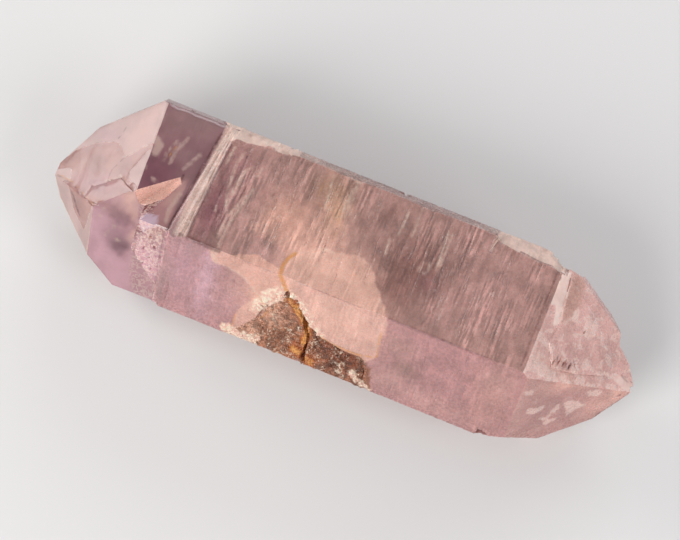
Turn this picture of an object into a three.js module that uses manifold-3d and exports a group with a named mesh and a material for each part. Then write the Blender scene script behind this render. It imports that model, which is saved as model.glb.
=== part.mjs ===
// A double-terminated amethyst crystal lying on one of its prism faces.
//
// The long axis of the crystal runs along X, with the stepped, glassy head at -X and the
// frosted point at +X. Every flat face is a plane given by three values: its azimuth, turned
// about the long axis from straight up towards -Y; its lean towards +X, which is zero on the
// six prism faces; and its distance from the middle of the crystal. Millimetres and degrees.

import * as THREE from 'three';
import { ConvexGeometry } from 'three/addons/geometries/ConvexGeometry.js';
import { mergeVertices } from 'three/addons/utils/BufferGeometryUtils.js';
import Module from 'manifold-3d';

const wasm = await Module();
wasm.setup();

// Quartz keeps the same angle between a pointed face and the prism face under it.
const POINT_LEAN = 38.2;
const TOP = 0;
const FRONT = 60;
const FRONT_LOW = 120;
const UNDER = 180;
const BACK_LOW = 240;
const BACK = 300;

// The thick middle of the crystal and its frosted point.
const BODY_FACES = {
  [FRONT]: 13.4,
  [FRONT_LOW]: 14.94,
  [UNDER]: 10,
  [BACK_LOW]: 5.65,
  [BACK]: 15.51,
};
const BODY_TOP = 12.93;
const RIGHT_POINT = {
  [TOP]: 31.07,
  [FRONT]: 32.04,
  [FRONT_LOW]: 34.7,
  [UNDER]: 31.37,
  [BACK_LOW]: 31.2,
  [BACK]: 33.56,
};
const BODY_LEFT_END = -24.1;
const LOW_CORNER = { azimuth: 106, lean: 17.9, distance: 24.9 };

// The thinner, clear head.
const HEAD_TOP = 11.43;
const HEAD_FRONT = { azimuth: 56.3, lean: 2.76, distance: 8 };
const HEAD_FACES = {
  [TOP]: HEAD_TOP,
  [FRONT_LOW]: 15.89,
  [UNDER]: 9.7,
  [BACK_LOW]: 6.4,
  [BACK]: 15.3,
};
// The head's pointed faces, whose angles stray a few degrees: azimuth, lean, distance.
const BRIGHT_FACE = [3.1, -38, 28.26];
const SHADED_FACE = [UNDER, -POINT_LEAN, 28.5];
const LEFT_POINT = [
  BRIGHT_FACE,
  SHADED_FACE,
  [FRONT, -POINT_LEAN, 30.54],
  [FRONT_LOW, -POINT_LEAN, 31.91],
  [-124.4, -41, 29.46],
  [-62.1, -43.6, 33.61],
];
const HEAD_INSIDE_END = -14;
const HEAD_LOW_STEP = 0.2;
const HEAD_BACK_STEP = -7.3;

// The pale ledge between head and body: growth layers that stop short, one above the other.
// left is where a layer's top edge crosses y = 0, and skew is how far it wanders per mm of y.
const LEDGE_LAYERS = [
  { top: 11.95, left: -22.9, skew: 0.1 },
  { top: 12.4, left: -21.75, skew: 0.055 },
  { top: BODY_TOP, left: -20.75, skew: 0.03 },
];

// The frosted terrace in front of the ledge, a little lower than the body's front face.
const TERRACE = { front: 12.45, top: 11.43, left: -29.1, skew: 0.11 };

const SEED_BLOCK = [140, 70, 70];
const CUT_BLOCK = 300;

const UP = new THREE.Vector3(0, 0, 1);
const LONG = new THREE.Vector3(1, 0, 0);
const radians = THREE.MathUtils.degToRad;

// A small generator with a fixed seed, so that the crystal is the same each time.
let seed = 20371;
function chance() {
  seed = (seed * 1664525 + 1013904223) % 4294967296;
  return seed / 4294967296;
}
function between(low, high) {
  return low + (high - low) * chance();
}

function solid(geometry) {
  const bare = geometry.clone();
  bare.deleteAttribute('normal');
  bare.deleteAttribute('uv');
  const merged = mergeVertices(bare, 1e-5);
  return new wasm.Manifold(new wasm.Mesh({
    numProp: 3,
    vertProperties: new Float32Array(merged.attributes.position.array),
    triVerts: new Uint32Array(merged.index.array),
  }));
}

function faceNormal(azimuth, lean = 0) {
  const a = radians(azimuth);
  const l = radians(lean);
  return new THREE.Vector3(Math.sin(l), -Math.cos(l) * Math.sin(a), Math.cos(l) * Math.cos(a));
}

// The frame of a face: x runs along the crystal, y across the face, z out of it.
function faceFrame(azimuth, lean = 0) {
  const out = faceNormal(azimuth, lean);
  const across = faceNormal(azimuth - 90);
  const along = new THREE.Vector3().crossVectors(across, out);
  return new THREE.Matrix4().makeBasis(along, across, out);
}

// Everything past a plane, as one big block.
function past(normal, distance) {
  const out = normal.clone().normalize();
  const block = new THREE.BoxGeometry(CUT_BLOCK, CUT_BLOCK, CUT_BLOCK);
  block.translate(0, 0, CUT_BLOCK / 2);
  block.applyQuaternion(new THREE.Quaternion().setFromUnitVectors(UP, out));
  block.translate(out.x * distance, out.y * distance, out.z * distance);
  return solid(block);
}

// A solid bounded by planes, each one [normal, distance].
function bounded(planes) {
  let crystal = solid(new THREE.BoxGeometry(...SEED_BLOCK));
  for (const [normal, distance] of planes) {
    crystal = crystal.subtract(past(normal, distance));
  }
  return crystal;
}

function facePlanes(distances, lean = 0) {
  return Object.entries(distances).map(([azimuth, distance]) => [
    faceNormal(Number(azimuth), lean),
    distance,
  ]);
}

// The plane through a point with the given normal.
function planeAt(normal, x, y, z) {
  const out = normal.clone().normalize();
  return [out, out.dot(new THREE.Vector3(x, y, z))];
}

function convex(points) {
  return solid(new ConvexGeometry(points.map((p) => new THREE.Vector3(...p))));
}

function growBody() {
  const common = [
    ...facePlanes(BODY_FACES),
    ...facePlanes(RIGHT_POINT, POINT_LEAN),
    [faceNormal(LOW_CORNER.azimuth, LOW_CORNER.lean), LOW_CORNER.distance],
    planeAt(new THREE.Vector3(-1, 0.01, 0), BODY_LEFT_END, -12, 0),
    planeAt(faceNormal(FRONT, -52), BODY_LEFT_END + 0.5, -15, 0.5),
  ];
  const layers = LEDGE_LAYERS.map(({ top, left, skew }) => {
    const slope = new THREE.Vector3(-0.75, skew, 0.66);
    return bounded([...common, [UP, top], planeAt(slope, left, 0, top)]);
  });
  return wasm.Manifold.union(layers);
}

function growHead() {
  const lowStep = faceNormal(FRONT_LOW, POINT_LEAN);
  return bounded([
    ...facePlanes(HEAD_FACES),
    ...LEFT_POINT.map(([azimuth, lean, distance]) => [faceNormal(azimuth, lean), distance]),
    [faceNormal(HEAD_FRONT.azimuth, HEAD_FRONT.lean), HEAD_FRONT.distance],
    [LONG, HEAD_INSIDE_END],
    [lowStep, HEAD_LOW_STEP],
    [faceNormal(BACK_LOW, POINT_LEAN), HEAD_BACK_STEP],
  ]);
}

function growTerrace() {
  const { front, top, left, skew } = TERRACE;
  return bounded([
    [UP, top],
    [faceNormal(FRONT), front],
    [faceNormal(FRONT_LOW), BODY_FACES[FRONT_LOW] - 0.3],
    [faceNormal(UNDER), 5],
    [faceNormal(BACK), 5],
    [faceNormal(BACK_LOW), 3],
    planeAt(new THREE.Vector3(-1, -skew, 0.12), left, -8, 9),
    planeAt(new THREE.Vector3(-1, -0.9, -0.5), left + 0.9, -11.5, 4.5),
    [LONG, HEAD_INSIDE_END],
  ]);
}

// The notch where head, ledge and terrace meet: one long smooth facet that dips towards the
// front, and a dark wedge under it.
function notch() {
  const lip = HEAD_TOP;
  return convex([
    [-31.4, -3.9, lip],
    [-25.7, 0.8, lip],
    [-25.1, -0.1, lip],
    [-26.3, -2.7, lip - 0.9],
    [-29.9, -5.5, lip - 2.1],
    [-31.6, -7.0, lip - 2.6],
    [-28.7, -7.8, lip],
    [-31.4, -3.9, lip + 2],
    [-25.7, 0.8, lip + 2],
    [-26.3, -2.7, lip + 2],
    [-28.7, -7.8, lip + 2],
    [-31.6, -7.8, lip + 2],
  ]);
}

// Fine growth lines across a prism face: shallow, lopsided grooves that run across the crystal,
// each one pointed at both ends, scattered so that they overlap into a ragged, stepped relief.
function growthLines(azimuth, distance, { from, to, low, high, count, reach, depth }) {
  const frame = faceFrame(azimuth);
  const cuts = [];
  for (let i = 0; i < count; i += 1) {
    const half = reach * between(0.25, 0.5);
    const x = between(from, to);
    const y = between(low + half * 0.6, high - half * 0.6);
    const steep = between(0.12, 0.3);
    const gentle = between(0.5, 1.3);
    const down = depth * between(0.5, 1);
    const rise = 0.08;
    const groove = new ConvexGeometry([
      new THREE.Vector3(0, -half, rise),
      new THREE.Vector3(0, half, rise),
      new THREE.Vector3(-steep, -half * 0.5, rise),
      new THREE.Vector3(-steep, half * 0.6, rise),
      new THREE.Vector3(gentle, -half * 0.6, rise),
      new THREE.Vector3(gentle, half * 0.4, rise),
      new THREE.Vector3(0.1, -half * 0.6, -down),
      new THREE.Vector3(0.1, half * 0.5, -down),
    ]);
    if (chance() < 0.5) {
      groove.rotateZ(Math.PI);
    }
    groove.rotateZ(radians(between(-4, 4)));
    groove.translate(x, y, distance);
    groove.applyMatrix4(frame);
    cuts.push(solid(groove));
  }
  return wasm.Manifold.union(cuts);
}

// A thin growth plate that stands a little proud of a face, its outline in the face's frame.
function plate(azimuth, lean, distance, outline, rise) {
  const shape = new THREE.Shape(outline.map(([x, y]) => new THREE.Vector2(x, y)));
  const slab = new THREE.ExtrudeGeometry(shape, {
    depth: 1,
    bevelEnabled: true,
    bevelThickness: rise,
    bevelSize: rise * 0.8,
    bevelSegments: 1,
  });
  slab.translate(0, 0, distance - 1);
  slab.applyMatrix4(faceFrame(azimuth, lean));
  return solid(slab);
}

// A broken, many-sided lump, used for chips, pits and the small crystals on the crust.
function lump(radius, stretch, detail = 0) {
  const geometry = mergeVertices(bareIcosahedron(radius, detail), 1e-4);
  const position = geometry.attributes.position;
  for (let i = 0; i < position.count; i += 1) {
    const grow = between(0.78, 1.15);
    position.setXYZ(
      i,
      position.getX(i) * grow * stretch[0],
      position.getY(i) * grow * stretch[1],
      position.getZ(i) * grow * stretch[2],
    );
  }
  geometry.rotateX(between(0, 3));
  geometry.rotateZ(between(0, 3));
  return geometry;
}

function bareIcosahedron(radius, detail) {
  const geometry = new THREE.IcosahedronGeometry(radius, detail);
  geometry.deleteAttribute('normal');
  geometry.deleteAttribute('uv');
  return geometry;
}

function lumpAt(place, radius, stretch = [1, 1, 1], detail = 0) {
  const geometry = lump(radius, stretch, detail);
  geometry.translate(...place);
  return solid(geometry);
}

// The contact scar low on the front: its outline on the front face, x along and y across.
const SCAR_OUTLINE = [
  [-11.6, -10.5], [-11.2, -8.7], [-9.2, -6.6], [-7.4, -3.8], [-7.1, -0.5], [-4.6, 1.2],
  [-3.9, 3.9], [-2.4, 3.2], [-1.1, 1.7], [0.2, 0.1], [1.5, -1.1], [3.2, -2.4], [5.3, -2.8],
  [7.6, -3.5], [9.9, -3.3], [11.0, -5.2], [11.3, -7.7], [13.2, -10.5],
];
const SCAR_DEPTH = 1.5;
const SCAR_CRACK = [[-3.9, 4.2], [-1.9, 2.8], [-0.4, -0.3], [1.2, -5.2], [1.2, -9.2]];
const FRONT_EDGE = -9.5;

function scar() {
  const length = 27;
  const height = 16;
  const columns = 22;
  const rows = 13;
  const block = new THREE.BoxGeometry(length, height, 6, columns, rows, 1);
  block.deleteAttribute('normal');
  block.deleteAttribute('uv');
  const rough = mergeVertices(block, 1e-4);
  rough.translate(1, -3.5, 3);
  const position = rough.attributes.position;
  for (let i = 0; i < position.count; i += 1) {
    if (position.getZ(i) < 1) {
      const x = position.getX(i);
      const y = position.getY(i);
      const shallow = THREE.MathUtils.smoothstep(y, FRONT_EDGE - 0.5, FRONT_EDGE + 3.5);
      const swell = 0.3 * Math.sin(0.9 * x + 0.6 * y) + 0.25 * Math.sin(0.5 * x - 1.1 * y + 2);
      const depth = shallow * (SCAR_DEPTH + swell) + between(-0.28, 0.28);
      position.setX(i, x + between(-0.25, 0.25));
      position.setZ(i, -Math.max(depth, 0.12));
    }
  }
  rough.translate(0, 0, BODY_FACES[FRONT]);
  rough.applyMatrix4(faceFrame(FRONT));
  const shape = new THREE.Shape(SCAR_OUTLINE.map(([x, y]) => new THREE.Vector2(x, y)));
  const walls = new THREE.ExtrudeGeometry(shape, { depth: 12, bevelEnabled: false });
  walls.translate(0, 0, BODY_FACES[FRONT] - 4);
  walls.applyMatrix4(faceFrame(FRONT));
  return solid(rough).intersect(solid(walls));
}

// The crack that runs down the scar: a row of narrow wedges, a little deeper than its floor.
function crack() {
  const wedges = [];
  for (let i = 1; i < SCAR_CRACK.length; i += 1) {
    const a = new THREE.Vector2(...SCAR_CRACK[i - 1]);
    const b = new THREE.Vector2(...SCAR_CRACK[i]);
    const half = between(0.45, 0.7);
    const side = b.clone().sub(a).normalize().rotateAround(new THREE.Vector2(), Math.PI / 2);
    const points = [];
    for (const end of [a, b]) {
      points.push([end.x + side.x * half, end.y + side.y * half, 0.6]);
      points.push([end.x - side.x * half, end.y - side.y * half, 0.6]);
      points.push([end.x, end.y, -(SCAR_DEPTH + between(0.9, 1.3))]);
    }
    const wedge = new ConvexGeometry(points.map((p) => new THREE.Vector3(...p)));
    wedge.translate(0, 0, BODY_FACES[FRONT]);
    wedge.applyMatrix4(faceFrame(FRONT));
    wedges.push(solid(wedge));
  }
  return wasm.Manifold.union(wedges);
}

// Small crystals crusted on the scar's upper rim and beside the crack.
const CRUST = [
  [-4.9, 1.6, 0.8], [-4.2, 2.6, 0.9], [-5.8, 0.6, 0.7], [-6.7, -0.3, 0.6], [-2.7, 3.9, 0.8],
  [-1.0, 2.2, 0.7], [0.4, 0.7, 0.8], [1.2, -0.7, 0.7], [-7.3, -1.6, 0.6], [2.6, -1.9, 0.6],
  [2.4, -6.6, 0.7], [3.3, -8.3, 0.6], [5.9, -8.6, 0.6], [9.2, -8.9, 0.7],
];

function crust() {
  const place = faceFrame(FRONT);
  const grains = CRUST.map(([x, y, radius]) => {
    const sunk = y < -5 ? SCAR_DEPTH * 0.7 : 0.25;
    const middle = new THREE.Vector3(x, y, BODY_FACES[FRONT] - sunk).applyMatrix4(place);
    return lumpAt(middle.toArray(), radius, [1.1, 0.9, 0.8]);
  });
  return wasm.Manifold.union(grains);
}

// Broken stretches of the ridge between the top and back faces. At each station: where it is
// along the crystal, how far over the top face the break reaches, and how far down the back.
const RIDGE_BREAKS = [
  [
    [-22.6, 0.1, 0.1], [-20.4, 1.0, 1.6], [-18.2, 1.1, 2.2],
    [-15.0, 0.5, 1.4], [-12.2, 0.6, 1.7], [-9.6, 0.1, 0.1],
  ],
  [
    [22.3, 0.1, 0.1], [23.4, 0.9, 1.5], [26.2, 1.3, 2.4],
    [29.6, 1.6, 2.9], [32.2, 1.5, 3.4], [34.6, 2.2, 3.6],
  ],
  [[-4.0, 0.1, 0.1], [-2.6, 0.4, 0.8], [0.4, 0.3, 0.7], [2.6, 0.1, 0.1]],
  [[8.4, 0.1, 0.1], [10.0, 0.4, 0.9], [13.2, 0.3, 0.6], [15.2, 0.1, 0.1]],
];

// Where the back face is at a height, at right angles to the crystal's length.
function backFaceY(z) {
  return (BODY_FACES[BACK] - z * Math.cos(radians(FRONT))) / Math.sin(radians(FRONT));
}

function ridgeBreaks() {
  const ridge = backFaceY(BODY_TOP);
  const clear = 0.3;
  const pieces = [];
  for (const stations of RIDGE_BREAKS) {
    const sections = stations.map(([x, over, down]) => {
      const low = BODY_TOP - down;
      return [
        [x, ridge - over, BODY_TOP + clear],
        [x, ridge - over * 0.9, BODY_TOP - down * 0.15],
        [x, backFaceY(low) - over * 0.25, low],
        [x, backFaceY(low) + clear, low - clear * 0.4],
        [x, backFaceY(low) + 3, BODY_TOP + 2],
      ];
    });
    for (let i = 1; i < sections.length; i += 1) {
      pieces.push(convex([...sections[i - 1], ...sections[i]]));
    }
  }
  return wasm.Manifold.union(pieces);
}

// The two broken corners of the frosted point: outlines on a level plane, swept steeply down.
const BACK_CORNER = [[30.1, 12.6], [33.5, 10.6], [36.8, 10.3], [39.5, 13.5], [31.5, 16]];
const TIP_NOTCH = [[45.3, 6.7], [46.0, 4.4], [48.7, 2.2], [52, 2.4], [50, 9.5]];

const CORNER_REACH = 7;

function brokenCorner(outline, level, lean) {
  const ends = [];
  for (const rise of [-CORNER_REACH, CORNER_REACH]) {
    for (const [x, y] of outline) {
      ends.push([x + lean[0] * rise, y + lean[1] * rise, level + rise]);
    }
  }
  return convex(ends);
}

// Chips along the edges: place, size, and how it is stretched along X, Y and Z.
const EDGE_CHIPS = [
  [[-2.4, 12.9, 10.4], 1.2, [2.2, 0.8, 0.8]],
  [[6.2, 12.9, 10.3], 1.3, [2.6, 0.8, 0.8]],
  [[22.9, 12.6, 10.5], 1.1, [1.2, 0.8, 1.0]],
  [[-24.0, -16.5, -1.7], 1.1, [0.9, 1, 1.1]],
  [[14.6, -16.8, -2.2], 1.1, [1.8, 0.7, 0.9]],
  [[26.5, -16.9, -1.6], 0.9, [2.2, 0.7, 0.8]],
  [[31.5, -16.2, -1.5], 1.3, [1.4, 0.8, 1.0]],
  [[50.6, -0.9, -0.2], 0.7, [0.7, 1, 1]],
  [[-46.6, -3.1, 0.1], 0.6, [0.7, 1, 1]],
  [[-33.4, -15.8, -5.5], 0.8, [1.2, 1, 1]],
  [[-2, -11.9, -10.4], 1.3, [2.4, 0.8, 0.7]],
  [[17, -12.1, -10.5], 1.0, [1.6, 0.8, 0.7]],
  [[9, 1.0, -10.7], 1.2, [2.0, 0.9, 0.8]],
  [[-12, 12.8, 10.2], 0.9, [1.6, 0.8, 0.8]],
];

function edgeChips() {
  return wasm.Manifold.union(EDGE_CHIPS.map(([place, size, stretch]) => lumpAt(place, size, stretch, 1)));
}

// Etched pits and short grooves, in the frame of the face that they are on: along, across,
// length, width and depth.
function pits(azimuth, lean, distance, places) {
  const frame = faceFrame(azimuth, lean);
  const cuts = places.map(([x, y, length, width, depth, turn = 90]) => {
    const pit = new THREE.ConeGeometry(width, depth * 2, 5);
    pit.rotateX(-Math.PI / 2);
    pit.scale(length / width, 1, 1);
    pit.rotateZ(radians(turn));
    pit.translate(x, y, distance);
    pit.applyMatrix4(frame);
    return solid(pit);
  });
  return wasm.Manifold.union(cuts);
}

const POINT_PITS = [
  [23.2, -4.1, 1.5, 0.35, 0.5, 75], [24.1, -3.6, 1.9, 0.4, 0.6, 78], [25.2, -3.4, 2.0, 0.45, 0.6, 74],
  [26.3, -3.3, 1.6, 0.4, 0.5, 80], [27.2, -2.6, 1.0, 0.3, 0.4, 82], [26.6, 2.6, 0.9, 0.35, 0.5, 70],
];
const FRONT_PITS = [
  [16.2, 2.4, 0.6, 0.4, 0.3], [19.4, -1.8, 0.7, 0.45, 0.3], [22.8, 3.3, 0.5, 0.35, 0.3],
  [25.1, -4.7, 0.7, 0.4, 0.3], [28.3, 0.9, 0.6, 0.4, 0.3], [-19.8, 1.7, 0.6, 0.4, 0.3],
  [-16.9, -3.6, 0.7, 0.4, 0.3], [-13.5, 2.2, 0.5, 0.35, 0.3], [18.1, -6.1, 0.6, 0.4, 0.3],
];
const TERRACE_PITS = [
  [-26.6, 3.2, 0.9, 0.35, 0.35, 60], [-25.6, 1.4, 0.8, 0.35, 0.35, 110],
  [-27.2, 0.4, 0.8, 0.35, 0.35, 80], [-26.1, -1.2, 0.9, 0.35, 0.35, 50],
  [-25.4, -3.4, 0.7, 0.3, 0.35, 120], [-26.9, -3.0, 0.7, 0.3, 0.35, 70],
];

// Where the growth lines are: how many on each stretch, how long and how deep.
const LINED = [
  [TOP, BODY_TOP, { from: -19, to: 32.5, low: -7.6, high: 10, count: 92, reach: 10, depth: 0.26 }],
  [FRONT, BODY_FACES[FRONT], { from: -22.5, to: -12, low: -9, high: 6.8, count: 9, reach: 7, depth: 0.18 }],
  [FRONT, BODY_FACES[FRONT], { from: 14, to: 31, low: -9, high: 6.8, count: 20, reach: 8, depth: 0.2 }],
  [FRONT_LOW, BODY_FACES[FRONT_LOW], {
    from: -15.5, to: 38, low: -2.6, high: 6.4, count: 26, reach: 7, depth: 0.26,
  }],
  [BACK_LOW, BODY_FACES[BACK_LOW], {
    from: -15.5, to: 37, low: -14, high: 7.8, count: 46, reach: 12, depth: 0.28,
  }],
  [UNDER, BODY_FACES[UNDER], { from: -20, to: -7, low: -0.2, high: 10.9, count: 7, reach: 7, depth: 0.2 }],
  [UNDER, BODY_FACES[UNDER], { from: 12, to: 35, low: -0.2, high: 10.9, count: 12, reach: 7, depth: 0.2 }],
];

function cutBody() {
  return wasm.Manifold.union(LINED.map(([azimuth, distance, spread]) => (
    growthLines(azimuth, distance, spread)
  )));
}

// Thin plates of growth that end in low steps.
const FROSTED_SKIN = 0.22;

function growthPlates() {
  return wasm.Manifold.union([
    // The clear corner of the head's big bright face, below its zigzag line
    plate(...BRIGHT_FACE, [
      [-17.9, -3.4], [-20.1, -2.5], [-21.7, -1.7], [-24.1, -2.9],
      [-27.0, -4.2], [-27.6, -6.1], [-24, -6.4],
    ], 0.2),
    // The frosted skin of the point, stopping short of the top face's edge
    plate(TOP, POINT_LEAN, RIGHT_POINT[TOP], [
      [20.4, 8.6], [21.7, 1.2], [21.2, -1.8], [23.4, -4.9],
      [28.2, -3.6], [34.4, -0.9], [33.3, 1.6], [27.2, 5.5],
    ], FROSTED_SKIN),
    plate(UNDER, POINT_LEAN, RIGHT_POINT[UNDER], [
      [25.6, 1.6], [29.5, 0.4], [33.2, 2.1], [31.8, 4.6], [28.1, 7.2], [25.4, 5.9],
    ], 0.25),
    plate(...SHADED_FACE, [
      [-31.2, 2.4], [-27.5, 1.4], [-23.1, 3.6], [-22.6, 8.1], [-27.9, 6.6],
    ], 0.25),
    // A short raised step at the top face's back edge, and one on the wide back face
    plate(TOP, 0, BODY_TOP - 0.05, [
      [22.2, 7.5], [22.6, 7.5], [22.8, 10.6], [22.4, 10.6],
    ], 0.25),
    plate(BACK_LOW, 0, BODY_FACES[BACK_LOW] - 0.1, [
      [-15, -9], [4, -11.5], [16, -6], [11, 2.5], [-4, 4.6], [-17, -1],
    ], 0.35),
  ]);
}

// The six-sided tablet at the terrace's upper corner
function tablet() {
  const hexagon = new THREE.CylinderGeometry(1.25, 1.55, 1.6, 6);
  hexagon.rotateX(Math.PI / 2);
  hexagon.applyMatrix4(faceFrame(38));
  const out = faceNormal(38);
  hexagon.translate(-27.2, -6.9, 10.7);
  hexagon.translate(-out.x * 0.7, -out.y * 0.7, -out.z * 0.7);
  return solid(hexagon);
}

function growCrystal() {
  const grown = wasm.Manifold.union([growBody(), growHead(), growTerrace()]);
  const lined = grown.subtract(cutBody());
  const layered = wasm.Manifold.union([lined.subtract(notch()), growthPlates(), tablet()]);
  const scarred = wasm.Manifold.union([layered.subtract(scar()).subtract(crack()), crust()]);
  return scarred.subtract(wasm.Manifold.union([
    edgeChips(),
    ridgeBreaks(),
    brokenCorner(BACK_CORNER, 9, [0.03, -0.2]),
    brokenCorner(TIP_NOTCH, 2, [0.12, -0.3]),
    pits(TOP, POINT_LEAN, RIGHT_POINT[TOP] + FROSTED_SKIN, POINT_PITS),
    pits(FRONT, 0, BODY_FACES[FRONT], FRONT_PITS),
    pits(FRONT, 0, TERRACE.front, TERRACE_PITS),
  ]));
}

// Each triangle gets its own corners, so that every facet shades flat.
function geometryOf(crystal) {
  const mesh = crystal.getMesh();
  const shared = new THREE.BufferGeometry();
  shared.setAttribute('position', new THREE.BufferAttribute(new Float32Array(mesh.vertProperties), 3));
  shared.setIndex(new THREE.BufferAttribute(new Uint32Array(mesh.triVerts), 1));
  const facets = shared.toNonIndexed();
  facets.computeVertexNormals();
  return facets;
}

const amethyst = new THREE.MeshStandardMaterial({
  color: new THREE.Color(0.72, 0.58, 0.62),
  roughness: 0.3,
  metalness: 0,
});

const crystal = new THREE.Mesh(geometryOf(growCrystal()), amethyst);
crystal.name = 'amethyst_crystal';

// The crystal lies on its underside, with the origin under the middle of its box.
crystal.geometry.computeBoundingBox();
const box = crystal.geometry.boundingBox;
crystal.position.set(-(box.min.x + box.max.x) / 2, -(box.min.y + box.max.y) / 2, -box.min.z);

const specimen = new THREE.Group();
specimen.add(crystal);

export default specimen;
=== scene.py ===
# %% [markdown]
# A double-terminated amethyst crystal is one piece of quartz that grew freely in a cavity, so it
# has a point at both ends. This lesson dresses its plain, faceted solid: first the fine relief
# of its faces, then the clear and milky quartz, the iron stain and the rough contact scar.
# The solid comes in as a fixed frame. Everything here is in metres, like that frame.

# %% Load the solid
from math import cos, exp, radians, sin

import bmesh
import bpy
import numpy as np
from mathutils import Matrix, Vector, noise


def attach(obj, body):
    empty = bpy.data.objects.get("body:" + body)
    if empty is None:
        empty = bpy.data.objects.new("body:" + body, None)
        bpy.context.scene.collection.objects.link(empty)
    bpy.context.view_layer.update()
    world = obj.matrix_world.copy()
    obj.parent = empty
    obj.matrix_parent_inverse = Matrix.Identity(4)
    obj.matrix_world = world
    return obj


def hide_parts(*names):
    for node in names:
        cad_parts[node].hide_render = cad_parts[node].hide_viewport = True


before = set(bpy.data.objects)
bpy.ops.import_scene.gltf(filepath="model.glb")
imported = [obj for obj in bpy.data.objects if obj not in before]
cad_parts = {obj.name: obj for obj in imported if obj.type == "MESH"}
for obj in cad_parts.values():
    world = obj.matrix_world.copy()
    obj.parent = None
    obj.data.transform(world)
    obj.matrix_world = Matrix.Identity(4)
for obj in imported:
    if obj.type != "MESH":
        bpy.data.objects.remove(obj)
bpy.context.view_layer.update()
MM = 0.001
NODE = "amethyst_crystal"

# %% [markdown]
# A crystal is easiest to describe from its own long axis. Each flat face is a plane with three
# values: its azimuth about that axis, its lean towards +X, and its distance from the axis. Two
# more values say how far along the axis it is met. The notch between head and body has three
# planes of its own. The marks on a face can then be written in the face's own flat millimetres,
# which are easier to read than places in the world would be.

# %% The faces of the crystal
AXIS_PLACE = Vector((-2.265, 1.917, 10.0))
ANYWHERE = (-60, 60)
HEAD = (-60, -20)
TIP = (15, 60)

FACES = {
    "top": (0, 0, 12.93, (-24.5, 60)),
    "front": (60, 0, 13.4, (-25, 60)),
    "front_low": (120, 0, 14.94, ANYWHERE),
    "under": (180, 0, 10, ANYWHERE),
    "back_low": (240, 0, 5.65, ANYWHERE),
    "back": (300, 0, 15.51, (-24.5, 60)),
    "head_top": (0, 0, 11.43, HEAD),
    "head_front": (56.3, 2.76, 8.0, HEAD),
    "head_low": (120, 0, 15.89, HEAD),
    "head_back": (300, 0, 15.3, (-60, -22.6)),
    "terrace": (60, 0, 12.45, HEAD),
    "bright": (3.1, -38, 28.26, HEAD),
    "notch": (41.6, 28.7, -5.29, (-31.8, -24.9)),
    "notch_floor": (13, -8.5, 14.64, (-30, -24.9)),
    "notch_far": (332.1, -33.6, 21.25, (-31.8, -26)),
    "left_front": (60, -38.2, 30.54, HEAD),
    "left_low": (120, -38.2, 31.91, HEAD),
    "left_under": (180, -38.2, 28.5, HEAD),
    "left_back_low": (235.6, -41, 29.46, HEAD),
    "left_back": (297.9, -43.6, 33.61, HEAD),
    "point_top": (0, 38.2, 31.29, TIP),
    "point_front": (60, 38.2, 32.04, TIP),
    "point_low": (120, 38.2, 34.7, TIP),
    "point_under": (180, 38.2, 31.37, TIP),
    "point_back_low": (240, 38.2, 31.2, TIP),
    "point_back": (300, 38.2, 33.56, TIP),
    "low_corner": (106, 17.9, 24.9, TIP),
}
FACE_NAMES = list(FACES)


def outward(azimuth, lean=0):
    a = radians(azimuth)
    b = radians(lean)
    return Vector((sin(b), -cos(b) * sin(a), cos(b) * cos(a)))


def flat_on(name, places):
    """The places as seen on a sheet of paper laid on the face: millimetres along and across."""
    azimuth, lean, _, _ = FACES[name]
    across = outward(azimuth - 90)
    along = across.cross(outward(azimuth, lean))
    return np.stack([places @ np.array(along), places @ np.array(across)], 1)


DIRECTION_WEIGHT = 2.5
OUT_OF_REACH = 99


def nearest_face(places, normals):
    """Which face each place lies on, judged by its gap to the plane and by its direction."""
    scores = []
    for azimuth, lean, distance, (from_x, to_x) in FACES.values():
        out = np.array(outward(azimuth, lean))
        score = abs(places @ out - distance) + DIRECTION_WEIGHT * (1 - normals @ out)
        missed = (places[:, 0] < from_x) | (places[:, 0] > to_x)
        scores.append(score + OUT_OF_REACH * missed)
    return np.argmin(scores, 0)


print(len(FACES), "faces")

# %% [markdown]
# The camera stands where the photographer's did: nearly above the crystal, a little in front of
# the broad top face, and turned so that the crystal slopes down to the right. Three angles and
# a distance say that. Placing the camera by eye would never bring all of the edges into line.

# %% The camera
LEAN_TO_FRONT = radians(14.57)
LEAN_TO_POINT = radians(4.5)
TURN_IN_PICTURE = radians(21.82)
CAMERA_DISTANCE = 400
CAMERA_SIDESTEP = (-1.18, 0.98)
PICTURE_WIDTH = 680
FOCAL_PIXELS = 2559

towards_camera = Vector((
    sin(LEAN_TO_POINT),
    -cos(LEAN_TO_POINT) * sin(LEAN_TO_FRONT),
    cos(LEAN_TO_POINT) * cos(LEAN_TO_FRONT),
))
long_way = Vector((1, 0, 0))
long_way = (long_way - long_way.dot(towards_camera) * towards_camera).normalized()
cross_way = towards_camera.cross(long_way)
picture_right = cos(TURN_IN_PICTURE) * long_way + sin(TURN_IN_PICTURE) * cross_way
picture_up = cos(TURN_IN_PICTURE) * cross_way - sin(TURN_IN_PICTURE) * long_way
camera_place = (
    AXIS_PLACE
    + towards_camera * CAMERA_DISTANCE
    - picture_right * CAMERA_SIDESTEP[0]
    - picture_up * CAMERA_SIDESTEP[1]
)

camera_data = bpy.data.cameras.new("camera")
camera = bpy.data.objects.new("camera", camera_data)
bpy.context.scene.collection.objects.link(camera)
turn = Matrix((picture_right, picture_up, towards_camera)).transposed()
camera.matrix_world = Matrix.Translation(camera_place * MM) @ turn.to_4x4()
camera_data.lens = camera_data.sensor_width * FOCAL_PIXELS / PICTURE_WIDTH
camera_data.clip_start = 0.01
bpy.context.scene.camera = camera
print("camera", round(camera_data.lens, 1), "mm lens, at", [round(c, 3) for c in camera.location])

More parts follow.
